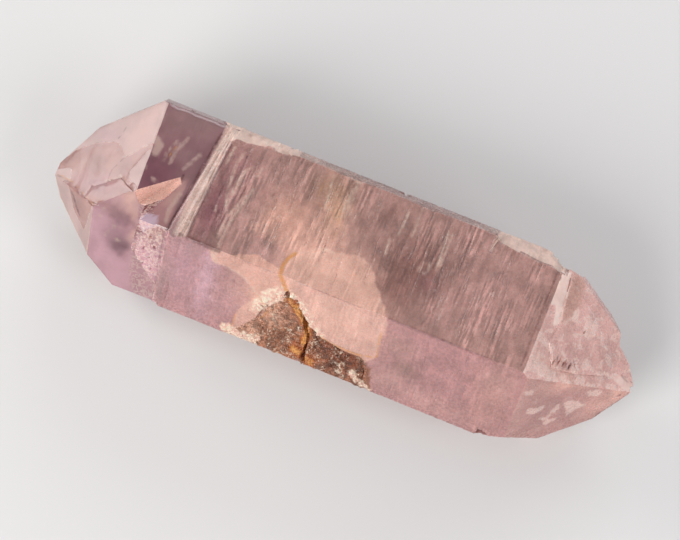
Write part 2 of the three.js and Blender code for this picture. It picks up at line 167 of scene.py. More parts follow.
# %% [markdown]
# A pale floor and soft boxes show a clear stone well. The long box at the left is mirrored in
# the big pointed face there, which makes that face the brightest. Nothing bright hangs right
# above, where it would be mirrored in the top faces and hide what is under them.

# %% Floor and lights
def make_material(name):
    material = bpy.data.materials.new(name)
    material.use_nodes = True
    return material


floor_mesh = bmesh.new()
bmesh.ops.create_grid(floor_mesh, x_segments=1, y_segments=1, size=3)
floor_data = bpy.data.meshes.new("floor")
floor_mesh.to_mesh(floor_data)
floor = bpy.data.objects.new("floor", floor_data)
bpy.context.scene.collection.objects.link(floor)
floor_paint = make_material("pale floor")
floor_paint.node_tree.nodes["Principled BSDF"].inputs["Base Color"].default_value = (0.58, 0.575, 0.57, 1)
floor_paint.node_tree.nodes["Principled BSDF"].inputs["Roughness"].default_value = 0.7
floor_data.materials.append(floor_paint)


def soft_box(name, place, size, watts, colour=(1, 1, 1)):
    data = bpy.data.lights.new(name, "AREA")
    data.shape = "RECTANGLE"
    data.size = size[0]
    data.size_y = size[1]
    data.energy = watts
    data.color = colour
    box = bpy.data.objects.new(name, data)
    box.location = place
    box.rotation_mode = "QUATERNION"
    box.rotation_quaternion = (-Vector(place)).to_track_quat("-Z", "Y")
    bpy.context.scene.collection.objects.link(box)
    return box


soft_box("left box", (-0.42, 0.08, 0.16), (0.30, 0.26), 1.15, (1.0, 0.97, 0.95))
soft_box("front box", (-0.25, -0.50, 0.42), (0.40, 0.40), 4.5, (1.0, 0.98, 0.96))
soft_box("right box", (0.55, -0.10, 0.35), (0.35, 0.35), 2.1, (0.98, 0.98, 1.0))
soft_box("back box", (0.05, 0.60, 0.30), (0.60, 0.30), 2.2, (0.98, 0.98, 1.0))

world = bpy.data.worlds.new("studio")
world.use_nodes = True
world.node_tree.nodes["Background"].inputs["Color"].default_value = (0.95, 0.96, 1.0, 1)
world.node_tree.nodes["Background"].inputs["Strength"].default_value = 0.30
bpy.context.scene.world = world
bpy.context.scene.view_settings.view_transform = "Standard"

# %% [markdown]
# The solid has the crystal's true planes, but only a few triangles on each, so there is nothing
# to shape between its corners. Subdividing would round it, and a voxel remesh would blur its
# edges. Slicing a merged copy with parallel planes keeps each edge where it is and gives narrow
# cells that run across the crystal, as its growth lines do.

# %% Slice a copy of the solid
EDGE_ANGLE = radians(25)
SLICE_ALONG = 0.4
SLICE_ACROSS = 0.75

crystal_mesh = bmesh.new()
crystal_mesh.from_mesh(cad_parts[NODE].data)
bmesh.ops.remove_doubles(crystal_mesh, verts=crystal_mesh.verts, dist=1e-6)
for edge in crystal_mesh.edges:
    edge.smooth = edge.calc_face_angle(0) < EDGE_ANGLE
for face in crystal_mesh.faces:
    face.smooth = True
print("merged copy has", len(crystal_mesh.faces), "faces")


def slice_faces(mesh, direction, step, wanted):
    """Cuts the wanted faces with planes across the direction, one step apart."""
    direction = Vector(direction)
    reach = [vert.co.dot(direction) for vert in mesh.verts]
    place = min(reach) + step / 2
    while place < max(reach):
        faces = [face for face in mesh.faces if wanted(face)]
        edges = {edge for face in faces for edge in face.edges}
        verts = {vert for face in faces for vert in face.verts}
        bmesh.ops.bisect_plane(
            mesh, geom=[*faces, *edges, *verts], dist=1e-6, plane_co=direction * place, plane_no=direction,
        )
        place += step
    print("sliced to", len(mesh.faces), "faces")


def lies_flat(face):
    return abs(face.normal.z) > 0.75


slice_faces(crystal_mesh, (1, 0, 0), SLICE_ALONG * MM, lambda face: True)
slice_faces(crystal_mesh, (0, 1, 0), SLICE_ACROSS * MM, lies_flat)
slice_faces(crystal_mesh, (0, 0, 1), SLICE_ACROSS * MM, lambda face: not lies_flat(face))
bmesh.ops.remove_doubles(crystal_mesh, verts=crystal_mesh.verts, dist=0.05 * MM)
crystal_mesh.verts.ensure_lookup_table()
crystal_mesh.normal_update()

# %% [markdown]
# Every corner of every cell belongs to the face whose plane and direction fit best. Working with
# the corners of the cells, not with the points of the mesh, lets the colour change at once where
# two faces meet. A point of the mesh has only one colour, so there it would run across the edge.

# %% Points and corners
def read_points(mesh):
    mesh.verts.index_update()
    mesh.normal_update()
    places = np.array([vert.co for vert in mesh.verts]) / MM - np.array(AXIS_PLACE)
    return places, np.array([vert.normal for vert in mesh.verts])


points, point_normals = read_points(crystal_mesh)
point_kinds = nearest_face(points, point_normals)
corner_points = np.array([vert.index for face in crystal_mesh.faces for vert in face.verts])
corner_counts = np.array([len(face.verts) for face in crystal_mesh.faces])
cell_middles = np.array([face.calc_center_median() for face in crystal_mesh.faces]) / MM
cell_middles -= np.array(AXIS_PLACE)
cell_kinds = nearest_face(cell_middles, np.array([face.normal for face in crystal_mesh.faces]))
corners = points[corner_points]
corner_kinds = np.repeat(cell_kinds, corner_counts)
print(len(points), "points,", len(corners), "corners")

# %% [markdown]
# A mark on a face is an outline or a few strokes. For each place the script keeps how far inside
# the mark it is, in millimetres, negative outside. Such a depth varies smoothly from place to
# place, so a material can draw a sharp or ragged border from it, which a painted mask could not.

# %% Outlines and strokes
FAR_OUTSIDE = -9.0


def gap_to_line(spots, start, end):
    start = np.array(start, float)
    way = np.array(end, float) - start
    share = np.clip((spots - start) @ way / max(way @ way, 1e-9), 0, 1)
    return np.linalg.norm(spots - start - share[:, None] * way, axis=1)


def inside_outline(spots, outline):
    """How far inside a closed outline each spot is."""
    nearest = np.full(len(spots), 99.0)
    inside = np.zeros(len(spots), bool)
    for (x0, y0), (x1, y1) in zip(outline, [*outline[1:], outline[0]]):
        nearest = np.minimum(nearest, gap_to_line(spots, (x0, y0), (x1, y1)))
        crosses = (y0 > spots[:, 1]) != (y1 > spots[:, 1])
        rise = (y1 - y0) or 1e-9
        inside ^= crosses & (spots[:, 0] < (x1 - x0) * (spots[:, 1] - y0) / rise + x0)
    return np.where(inside, nearest, -nearest)


def inside_stroke(spots, line, half_width):
    """How far inside a brush stroke along a line of points each spot is."""
    return half_width - np.minimum.reduce([gap_to_line(spots, a, b) for a, b in zip(line, line[1:])])


def depth_in(marks, places, kinds):
    """The greatest depth of each place in any of the marks: faces, outline and, for a stroke, half width.

    The outline is drawn on the first face that the mark names and holds for all of them.
    """
    depth = np.full(len(places), FAR_OUTSIDE)
    for names, outline, *half_width in marks:
        names = names.split()
        here = np.isin(kinds, [FACE_NAMES.index(name) for name in names])
        spots = flat_on(names[0], places[here])
        found = inside_stroke(spots, outline, *half_width) if half_width else inside_outline(spots, outline)
        depth[here] = np.maximum(depth[here], found)
    return depth


print("outlines are measured in millimetres on the face they name")

# %% [markdown]
# These are the crystal's marks, measured on its faces. The pale film is the thin frosted skin of
# late growth. It covers the big bright face apart from one clear window, makes the cream strip
# on the frosted point, and lies on the six-sided flat beside the terrace. The blotches are
# scraps of the same skin that are left on the frosted point.

# %% The pale film
FILM = [
    ("bright", [
        (-40, -4), (-36.4, -1.6), (-35.8, -0.4), (-34, 1.2), (-31, 2.9), (-27.9, 3.6), (-25.4, 3.8),
        (-24.2, 3.1), (-22.8, 1.7), (-20.4, 3.6), (-18.4, 4.8), (-14, 5), (-14, 16), (-40, 16),
    ]),
    ("bright", [(-20.3, -1.4), (-20.4, -0.2), (-18.6, 3.6), (-14, 4), (-14, -3), (-17.4, -2.6)]),
    ("bright", [(-33.2, -1.6), (-36, -2.2), (-37, -3.0), (-34.5, -4.2), (-32.0, -3.6)]),
    ("left_front", [
        (-36, -5), (-36, 1), (-30.5, 0.2), (-27.8, -3.2), (-24.2, -4.4), (-23.2, 4), (-20, 4), (-20, -9),
        (-32, -9),
    ]),
    ("terrace head_front", [(-28.9, 5.9), (-27.9, 8.0), (-26.3, 8.2), (-25.9, 6.2), (-28.2, 4.9)]),
    ("point_top", [
        (18.0, 8.9), (20.3, 9.6), (20.7, 6.5), (21.6, 1.6), (20.8, 0.6), (19.6, 3.8), (18.3, 3.4),
    ]),
    ("point_top", [(35.2, -0.2), (37.4, 0.2), (39.9, -0.2), (38.7, -1.6), (36.6, -1.4)]),
    ("point_front", [(17.8, 9.6), (24.5, 6.6), (26.4, 5.6), (26.0, 5.0), (22.2, 6.2), (17.6, 7.6)]),
    ("back", [(-24.4, -9), (-24.4, 2), (-11, 2), (-9.5, -9)]),
    ("back", [(22.6, -12), (22.6, 4), (34, 4), (34, -12)]),
    ("top", [(-24.5, 8.6), (-20.4, 8.8), (-19, 9.8), (-14, 10.4), (-9.6, 10.8), (-9.5, 14), (-24.5, 14)]),
    ("top", [(22.8, 10.8), (24.8, 9.9), (28.0, 9.8), (31.8, 9.5), (33.3, 8.6), (36, 12), (22.8, 14)]),
]
BLOTCHES = [
    ("point_front", [(19.2, 3.2), (21.4, 3.4), (21.0, 2.0), (19.8, 2.0)]),
    ("point_front", [(21.0, -1.2), (22.6, -1.5), (23.8, -0.9), (24.4, -1.6), (22.9, -3.0), (21.5, -2.7)]),
    ("point_front", [(25.4, -3.5), (26.3, -1.1), (27.0, -1.5), (26.8, -3.1)]),
    ("point_front", [(27.0, -0.6), (29.6, -1.0), (31.8, -2.4), (30.2, -3.0), (29.0, -4.3), (28.2, -2.6)]),
    ("point_front", [(23.8, -3.9), (25.4, -4.4), (28.8, -4.6), (26.2, -5.5), (25.7, -6.4), (25.0, -5.2)]),
    ("point_front", [(30.0, 1.6), (33.6, 0.8), (33.8, -0.6), (31.4, -0.2)]),
    ("point_top", [(26.0, 5.0), (28.4, 4.9), (29.0, 3.2), (27.6, 1.8), (26.2, 3.0)]),
    ("point_top", [(23.4, 5.4), (24.4, 5.0), (24.2, 3.6), (23.0, 2.6)]),
    ("point_top", [(18.0, -7.4), (18.0, -5), (19.4, -4.6), (21.8, -5.2), (24.6, -5.4), (26, -6.5)]),
    ("point_top", [(18.2, -0.4), (19.8, -1.2), (20.9, -3.0), (19.6, -2.8), (18.4, -2.2)]),
    ("point_top", [(18.3, -2.6), (19.2, -3.2), (19.6, -4.4), (18.8, -4.4)]),
    ("point_top", [(20.2, -3.8), (21.4, -3.9), (22.6, -4.6), (20.8, -4.6)]),
    ("point_top", [(31.2, 2.2), (33.6, 1.6), (34.8, 0.4), (32.8, 0.4)]),
    ("point_top", [(31.4, -1.6), (33.2, -1.0), (34.0, -2.4), (32.2, -2.6)]),
    ("point_top", [(21.4, -1.8), (22.3, -1.6), (22.5, -3.0), (21.7, -3.0)]),
    ("point_top", [(28.2, -1.2), (29.8, -0.6), (29.8, -2.4), (28.4, -2.6)]),
]
print(len(FILM), "pieces of film,", len(BLOTCHES), "blotches")

# %% [markdown]
# Iron has stained the quartz peach around the contact scar. The stain ends in a clear border on
# the right and a thin orange rim on the left, and it fades upwards. A crust of tiny crystals
# lines the scar, and an orange crack runs down it from a small dark hole.

# %% Stain and scar
STAIN = [
    ("top", [
        (-4.4, -11), (-5.4, -8.2), (-5.6, -6.0), (-4.6, -3.8), (-2.2, -2.0), (0.6, -1.5), (3.4, -0.9),
        (6.2, -0.9), (7.6, -2.6), (9.4, -5.1), (10.9, -6.8), (12.2, -8.6), (12.4, -11),
    ]),
    ("front", [
        (-4.6, 12), (-4.4, 5.5), (-3.4, 2.5), (-3, 0), (0, -4), (10, -4.6), (11.6, -2.7), (12.5, -1.4),
        (12.0, 1.7), (12.4, 4.6), (12.0, 6.6), (12.0, 12),
    ]),
]
LOBE = [
    ("front", [
        (-17.4, 12), (-17.0, 6.2), (-15.9, 4.2), (-13.5, 4.5), (-11.4, 4.0), (-9.6, 2.8), (-8.5, 1.4),
        (-8.8, -0.8), (-10.2, -2.9), (-10.6, -4.4), (-10.5, -7.1), (-11.6, -10.5), (-4.0, -8), (-3.4, 2.0),
        (-3.6, 12),
    ]),
    ("top", [(-16, -9.6), (-12.6, -7.4), (-9.8, -6.4), (-5.0, -7.4), (-4.6, -10)]),
]
DIFFUSE = [
    ("top", [
        (-13.4, -2.6), (-11.9, -1.6), (-11.7, 0.0), (-10.6, 1.4), (-8.7, 3.1), (-6.0, 3.2), (-3.7, 3.7),
        (-1.4, 3.4), (1.2, 3.4), (1.6, -0.6), (-1.5, -2.4), (-5, -5), (-8.6, -3.6), (-10.9, -3.4),
    ]),
]
SCAR = [
    ("front", [
        (-11.6, -11), (-10.6, -8.7), (-8.8, -6.9), (-7.0, -4.6), (-6.3, -2.0), (-5.6, 0.2), (-4.4, 1.9),
        (-3.9, 3.6), (-2.6, 3.2), (-1.4, 2.0), (0.2, 0.1), (1.5, -1.1), (3.2, -2.4), (5.3, -2.9),
        (7.6, -3.2), (9.9, -3.0), (11.4, -5.2), (11.9, -7.7), (12.8, -11),
    ]),
]
CRUST = [
    ("front", [(-7.6, -1.6), (-6.6, 0.6), (-6.0, 2.4), (-4.6, 3.6)], 1.2),
    ("front", [(-2.8, 3.9), (-1.2, 2.8), (0, 1.3), (1.6, -0.7), (2.8, -1.8)], 0.75),
    ("front front_low", [(-11.3, -8.2), (-9.4, -9.4), (-7.0, -9.1)], 1.0),
    ("front", [(9.6, -8.2), (12.4, -9.2)], 0.5),
]
CRACK = [
    ("front", [(-3.4, 2.6), (-2.6, 1.0), (-1.2, -0.6), (0.4, -1.9), (0.9, -4.0), (0.6, -6.6)], 0.85),
    ("front", [(-0.6, -7.9), (1.2, -8.4), (2.8, -8.7)], 0.8),
]
HOLE = [("front", [(-3.9, 3.3), (-2.6, 2.7), (-1.5, 1.8), (-1.8, 0.7), (-2.7, 1.2), (-3.4, 2.4)])]
print("scar outline of", len(SCAR[0][1]), "points")

# %% [markdown]
# The last marks are strokes. The veils are the soft white wisps and specks that float inside the
# clear head. Small pieces inside a clearer head would be truer, but slow to render, so they are
# drawn on its faces. Pale lines are growth streaks, and where they run along edges and rims they
# are painted highlights. Dark lines are painted shade in open steps, small pits and along edges,
# and amber ones are iron in the finest cracks.

# %% Fine lines
VEILS = [
    ("head_top", [(-27.0, 7.0), (-27.9, 4.8), (-28.1, 2.2)], 0.2),
    ("head_top", [(-28.4, 6.1), (-29.1, 3.8), (-29.1, 2.2)], 0.14),
    ("head_top", [(-24.2, 5.4), (-25.0, 3.8), (-25.8, 2.2)], 0.26),
    ("head_top", [(-31.5, 5.0), (-30.6, 4.2), (-30.8, 3.0)], 0.6),
    ("head_top", [(-29.6, -1.0), (-28.9, -1.3)], 0.24),
    ("head_top", [(-31.5, 0.5), (-31.1, 0.2)], 0.24),
    ("head_front", [(-32.7, -3.7), (-32.5, -3.5)], 0.4),
    ("head_front", [(-34.6, -3.3), (-34.4, -3.0)], 0.3),
    ("head_front", [(-36.0, 0.1), (-35.9, 0.2)], 0.3),
    ("head_front", [(-35.7, 1.6), (-35.6, 1.7)], 0.3),
    ("head_front", [(-33.9, -1.4), (-33.6, -1.2)], 0.3),
    ("head_top notch_floor terrace", [(-24.6, -1.5), (-25.2, -4.6), (-25.0, -6.6)], 0.3),
]
# Growth streaks. The pale lines that run along edges and along the stain's rim are painted highlights.
STREAKS_AND_HIGHLIGHTS = [
    ("bright", [(-24.7, -2.5), (-23.2, -2.3), (-22.1, -1.2), (-20.9, -1.9), (-20.2, -2.4)], 0.13),
    ("bright", [(-23.3, 1.6), (-19.6, 4.0), (-17.9, 4.6)], 0.12),
    ("left_front", [(-22.8, 2.0), (-22.2, -7.4)], 0.3),
    ("terrace head_front top", [(-26.8, 4.4), (-26.1, 4.0), (-25.0, 4.8)], 0.12),
    ("terrace", [(-26.6, 5.4), (-25.4, 3.2), (-24.8, 2.8)], 0.12),
    ("top", [(-17.9, 7.7), (-18.4, 5.9), (-18.3, 3.7), (-17.9, 0.8), (-17.0, -1.9)], 0.16),
    ("top", [(-16.2, 5.8), (-17.0, 4.0), (-17.2, 1.8), (-17.2, -0.3)], 0.14),
    ("top", [(-16.8, 5.1), (-16.7, 2.7), (-17.1, 0.1)], 0.1),
    ("top", [(-14.4, 2.9), (-14.9, 0.7), (-15.5, -2.0), (-15.9, -4.5), (-15.9, -7.6)], 0.15),
    ("top", [(-15.2, 1.6), (-16.4, -2.6), (-16.8, -6.4)], 0.12),
    ("top", [(-19.6, 8.0), (-19.9, 5.2)], 0.14),
    ("top", [(-14.5, 6.4), (-14.7, 4.9)], 0.12),
    ("top", [(-18.7, -1.3), (-18.5, -2.5)], 0.1),
    ("top", [(-4.0, 9.7), (-3.2, 4.2)], 0.12),
    ("top", [(0.0, 9.6), (0.1, 4.2)], 0.13),
    ("top", [(-0.5, 8.7), (-0.6, 4.9)], 0.08),
    ("top", [(-1.7, -1.9), (0.6, -1.6)], 0.13),
    ("top", [(-1.5, 10.4), (0.3, 10.1)], 0.22),
    ("top", [(10.4, 10.3), (10.6, 5.3)], 0.12),
    ("top", [(15.5, 8.0), (15.9, 1.7)], 0.12),
    ("top", [(16.2, 8.0), (16.3, 2.5)], 0.08),
    ("top", [(8.8, 9.0), (8.6, 4.5)], 0.1),
    ("top", [(7.6, 3.7), (7.9, 1.1)], 0.09),
    ("top", [(22.7, 10.7), (22.6, 7.9)], 0.13),
    ("top", [(13.4, 0.7), (13.8, 2.2), (14.6, 2.5), (14.9, 1.0), (14.0, 0.1), (13.4, 0.7)], 0.09),
    ("front", [(-16.6, 6.6), (-15.9, 4.4), (-13.5, 4.4), (-11.4, 4.0)], 0.12),
    ("front", [(-11.4, 4.0), (-9.6, 2.8), (-8.2, 1.4), (-7.2, 0.2)], 0.12),
    ("front", [(-15.8, 7.2), (-16.0, 5.2)], 0.22),
    ("point_top", [(17.9, 8.8), (17.9, -7.2)], 0.2),
    ("point_front", [(17.8, 9.3), (26.5, 5.4)], 0.16),
]
# Painted shade: dark wine lines in open steps, small pits and along edges, where shade falls.
SHADE_LINES = [
    ("bright", [(-24.1, 2.9), (-22.8, 1.6), (-24.5, -0.8), (-24.2, -2.2)], 0.1),
    ("bright", [(-25.9, 4.5), (-25.7, 4.9)], 0.14),
    ("bright", [(-25.4, 5.7), (-25.3, 6.1)], 0.14),
    ("bright", [(-25.2, 7.1), (-25.1, 7.4)], 0.12),
    ("bright", [(-35.6, -3.2), (-31.0, -4.4), (-25.2, -7.0)], 0.12),
    ("left_front", [(-29.4, -0.8), (-28.0, -1.4), (-26.0, -3.0)], 0.32),
    ("head_top", [(-31.2, -3.7), (-30.7, -3.9)], 0.3),
    ("head_top", [(-22.6, 9.8), (-24.3, -7.9)], 0.2),
    ("head_top top", [(-25.3, 0.6), (-25.4, 1.4)], 0.2),
    ("terrace head_front", [(-29.2, 8.0), (-28.8, 2.0), (-28.6, -2.4)], 0.2),
    ("terrace front", [(-24.5, 4.8), (-24.4, -1.9), (-24.0, -10.2)], 0.12),
    ("top", [(-20.3, 8.4), (-20.9, 1.0), (-20.8, -7.6)], 0.24),
    ("top", [(-15.6, 3.1), (-15.9, 0.3), (-16.4, -1.7)], 0.13),
    ("top", [(-16.9, -6.2), (-16.8, -5.9)], 0.2),
    ("top", [(-0.5, 2.1), (-0.3, 2.1)], 0.14),
    ("top", [(17.8, -3.9), (17.5, -5.6), (16.9, -7.3)], 0.1),
    ("top front", [(-23.6, -7.9), (-20.8, -7.9), (-15.6, -8.1)], 0.26),
    ("front", [(-24, 7.2), (-15.4, 7.1)], 0.2),
    ("front", [(-12, 7.15), (-6, 7.15)], 0.08),
    ("front", [(-3, 7.15), (8, 7.1)], 0.07),
    ("front", [(12.1, 7.15), (26.3, 7.1), (30.0, 7.0)], 0.12),
    ("top front", [(12.1, -7.98), (30.0, -7.98)], 0.08),
    ("top", [(33.1, 8.6), (33.2, -7.2)], 0.14),
    ("point_top", [(24.1, 2.8), (24.5, 2.2), (25.0, 1.8)], 0.13),
    ("point_top", [(23.4, -3.0), (23.7, -3.7)], 0.16),
    ("point_top", [(25.6, -3.2), (25.2, -4.4)], 0.13),
    ("point_top", [(26.6, -2.2), (26.2, -4.0)], 0.13),
    ("point_top", [(35.4, 0.3), (38.3, -0.2)], 0.1),
    ("point_front", [(36.7, -0.9), (37.0, -1.1)], 0.34),
    ("point_front", [(34.5, -0.2), (34.8, -0.2)], 0.16),
]
AMBER_LINES = [
    ("left_front", [(-35.0, -1.2), (-31.7, -4.4), (-22.2, -8.2)], 0.22),
    ("head_front", [(-37.0, -8.6), (-32.2, -13.4), (-25.6, -13.8)], 0.22),
    ("bright", [(-37.0, -2.6), (-35.6, 0.2), (-31.2, 6.2), (-26, 9.6)], 0.12),
    ("top", [(-4.6, -3.9), (-5.4, -5.2), (-5.7, -6.6), (-5.5, -8.1)], 0.28),
    ("front", [(-5.5, 7.2), (-4.8, 6.0), (-3.5, 3.9)], 0.36),
    ("front", [(-8.2, 1.3), (-7.2, 0.3), (-6.2, -0.6)], 0.1),
    ("front", [(2.8, -2.2), (5.3, -2.8), (9.1, -2.9), (12.3, -1.9), (12.0, 0.6), (11.8, 3.6)], 0.14),
    ("front", [(-10.6, -4.6), (-10.5, -7.1), (-11.4, -8.6)], 0.1),
    ("front", [(-6.9, -4.7), (-6.1, -2.9), (-5.4, -2.3)], 0.12),
    ("top", [(-0.8, 4.2), (-0.3, 2.0), (0.1, -0.8)], 0.05),
    ("top", [(-4.8, 9.3), (-5.1, 4.8), (-3.6, 4.3)], 0.02),
    ("top", [(-10.4, 10.6), (-8.2, 10.7)], 0.2),
    ("bright", [(-35.6, -3.0), (-31.0, -4.0), (-25.2, -6.7)], 0.1),
    ("head_top", [(-28.2, 5.0), (-28.8, 2.6)], 0.1),
]
print(len(VEILS), "veils;", len(STREAKS_AND_HIGHLIGHTS), "pale,", len(SHADE_LINES), "dark,", len(AMBER_LINES), "amber")

# %% [markdown]
# The depths are worked out twice: at the corners of the cells for the materials, and at the
# points of the mesh for the relief, which raises a film a little and roughens the scar.

# %% Depths of the marks
MARKS = {
    "film": FILM,
    "blotch": BLOTCHES,
    "stain": STAIN,
    "lobe": LOBE,
    "diffuse": DIFFUSE,
    "scar": SCAR,
    "crust": CRUST,
    "crack": CRACK,
    "hole": HOLE,
    "veil": VEILS,
    "streak_and_highlight": STREAKS_AND_HIGHLIGHTS,
    "painted_shade_line": SHADE_LINES,
    "amber_line": AMBER_LINES,
}
corner_marks = {name: depth_in(marks, corners, corner_kinds) for name, marks in MARKS.items()}
raised = ("film", "blotch", "scar")
point_marks = {name: depth_in(MARKS[name], points, point_kinds) for name in raised}
print({name: int((depth > 0).sum()) for name, depth in corner_marks.items()})

# %% [markdown]
# No face of a natural crystal is flat. The prism faces carry fine growth lines across the
# crystal; the front face is grainy; the terrace is etched into worm-like ridges; and the scar is
# a rough break. A displacement texture could do this, but moving each point once by a few
# noises is quicker and keeps the mesh under control. The solid's own broad grooves are eased,
# since they stand for many finer lines. The top face is calm by the stain, where few lines show.

# %% Relief of the faces
GROOVE_EASE = 0.85
GROOVE_REACH = 0.45
GROOVED_LENGTH = (-20.2, 33)
GROOVED = ("top", "front", "front_low", "back_low", "back", "under")
SCAR_MARGIN = 0.6
CALM_ALONG = (3, 8)
CALM_ACROSS = (-6, 6)
SCAR_HEIGHT = 0.5
WORM_HEIGHT = 0.5
GRAIN_HEIGHT = 0.02
SKIN_HEIGHT = 0.05
FILM_HEIGHT = 0.03
LEAST_WEAR = 0.04
MORE_WEAR = 0.06


def speckle(x, y, seed):
    return noise.noise(Vector((x, y, seed)))


def growth_lines(x, s, seed):
    """Ragged steps that run across the crystal, from -1 in the deep lines to 0."""
    wander = 0.5 * speckle(0.2 * x, 0.15 * s, seed)
    broad = abs(speckle(0.7 * x + wander, 0.1 * s, seed + 3))
    fine = abs(speckle(1.5 * x + wander, 0.2 * s, seed + 7))
    return -(0.5 * min(1, broad * 2.2) + 0.5 * min(1, fine * 2.2))


def bump_at(x, middle, reach):
    return exp(-(((x - middle) / reach) ** 2))


def line_depth(name, x, s):
    """How deep the growth lines are, in millimetres, which changes along the crystal."""
    if name == "top":
        calm = bump_at(x, *CALM_ALONG) * bump_at(s, *CALM_ACROSS)
        strong = 0.9 * bump_at(x, -17, 4) + 0.4 * bump_at(x, -2, 4) + 0.7 * bump_at(x, 12, 8)
        return (0.018 + 0.034 * strong) * (1 - 0.8 * calm)
    if name in ("front_low", "back_low", "back"):
        return 0.06
    if name == "front":
        return 0.012 + 0.02 * bump_at(x, 28, 6) + 0.02 * bump_at(x, -17, 4)
    if name == "under":
        return 0.04
    return 0.008


def relief_at(name, x, s, place, depth):
    """The height that a point gets, in millimetres, along its normal."""
    high = line_depth(name, x, s) * growth_lines(x, s, FACE_NAMES.index(name))
    if name == "front" and depth["scar"] > 0:
        rough = speckle(0.9 * x, 0.9 * s, 40) + 0.6 * speckle(2.1 * x, 2.1 * s, 50)
        return SCAR_HEIGHT * rough * min(1, depth["scar"])
    if name == "front":
        high += GRAIN_HEIGHT * (speckle(1.3 * x, 1.3 * s, 11) + 0.5 * speckle(2.6 * x, 2.6 * s, 12))
    if name == "terrace":
        worm = abs(speckle(0.9 * x, 0.9 * s, 21)) + 0.5 * abs(speckle(1.8 * x, 1.8 * s, 22))
        high += 0.12 - WORM_HEIGHT * min(0.3, worm)
    if name.startswith("point"):
        high += SKIN_HEIGHT * min(1, max(0, max(depth["film"], depth["blotch"]) * 2 + 0.3))
        high += GRAIN_HEIGHT * speckle(1.1 * x, 1.1 * s, 31)
    if name in ("bright", "left_front"):
        high += FILM_HEIGHT * min(1, max(0, depth["film"] * 3 + 0.3))
    return high + 0.01 * noise.noise(place * 0.6)


point_flat = np.zeros((len(points), 2))
point_gap = np.zeros(len(points))
for index, (name, (azimuth, lean, distance, _)) in enumerate(FACES.items()):
    here = point_kinds == index
    point_flat[here] = flat_on(name, points[here])
    point_gap[here] = points[here] @ np.array(outward(azimuth, lean)) - distance
worn = 0
for i, vert in enumerate(crystal_mesh.verts):
    name = FACE_NAMES[point_kinds[i]]
    depth = {mark: values[i] for mark, values in point_marks.items()}
    high = relief_at(name, *point_flat[i], Vector(points[i]), depth)
    on_body = name in GROOVED and GROOVED_LENGTH[0] < points[i][0] < GROOVED_LENGTH[1]
    if on_body and abs(point_gap[i]) < GROOVE_REACH and depth["scar"] < -SCAR_MARGIN:
        high -= GROOVE_EASE * point_gap[i]
    if any(not edge.smooth for edge in vert.link_edges):
        worn += 1
        high -= LEAST_WEAR + MORE_WEAR * abs(noise.noise(Vector(points[i]) * 0.9))
    vert.co += Vector(point_normals[i]) * high * MM
print("points on worn edges:", worn)

# %% [markdown]
# Colour runs through a crystal in broad, soft zones. Here each face has a colour of its own and
# a few soft patches, given by their place, their reach and a named colour. They are blended into
# one colour attribute, which the materials take as their ground and work on with fine patterns.

# %% Named colours
def linear(red, green, blue):
    """A colour as seen on a screen, 0 to 255, turned into the light values that a shader needs."""
    shares = [c / 255 for c in (red, green, blue)]
    return np.array([s / 12.92 if s <= 0.04045 else ((s + 0.055) / 1.055) ** 2.4 for s in shares])


CRUST_AND_GLINT_WHITE = linear(250, 228, 204)
PEARL = linear(244, 214, 203)
IVORY = linear(238, 212, 194)
CREAM = linear(232, 202, 188)
PALE_ROSE = linear(224, 186, 178)
BLUSH = linear(226, 182, 174)
FROST = linear(215, 184, 179)
ROSE = linear(203, 158, 151)
DIM_ROSE = linear(191, 143, 136)
LAVENDER = linear(212, 170, 180)
PALE_LAVENDER = linear(214, 186, 200)
PINK_MAUVE = linear(198, 152, 160)
ORCHID = linear(208, 160, 169)
PALE_ORCHID = linear(222, 174, 184)
MAUVE = linear(184, 136, 135)
WARM_MAUVE = linear(176, 133, 127)
BROWN_MAUVE = linear(175, 136, 128)
DUSTY_ROSE = linear(186, 144, 137)
SMOKE = linear(155, 120, 112)
DARK_SMOKE = linear(130, 92, 85)
PLUM = linear(134, 87, 92)
VIOLET = linear(143, 99, 106)
DEEP_VIOLET = linear(122, 77, 90)
GREY_VIOLET = linear(171, 136, 136)
SALMON = linear(234, 182, 166)
PALE_SALMON = linear(252, 206, 192)
PEACH = linear(226, 177, 159)
PALE_PEACH = linear(234, 188, 170)
APRICOT = linear(210, 160, 141)
HONEY = linear(196, 155, 118)
TAN = linear(192, 150, 138)
PALE_TAN = linear(208, 164, 151)
SAND = linear(210, 180, 169)
SHADE_WINE = linear(96, 50, 50)
RUST = linear(172, 94, 50)
AMBER = linear(218, 152, 84)
BROWN = linear(164, 108, 80)
GREY_BROWN = linear(210, 160, 136)
UMBER = linear(110, 52, 28)
print("peach as light:", PEACH.round(2))

# %% [markdown]
# The zones of each face follow: its own colour, then patches with place, reach, colour and
# strength. After them come the areas with an outline, such as the ledge and the notch's facet.

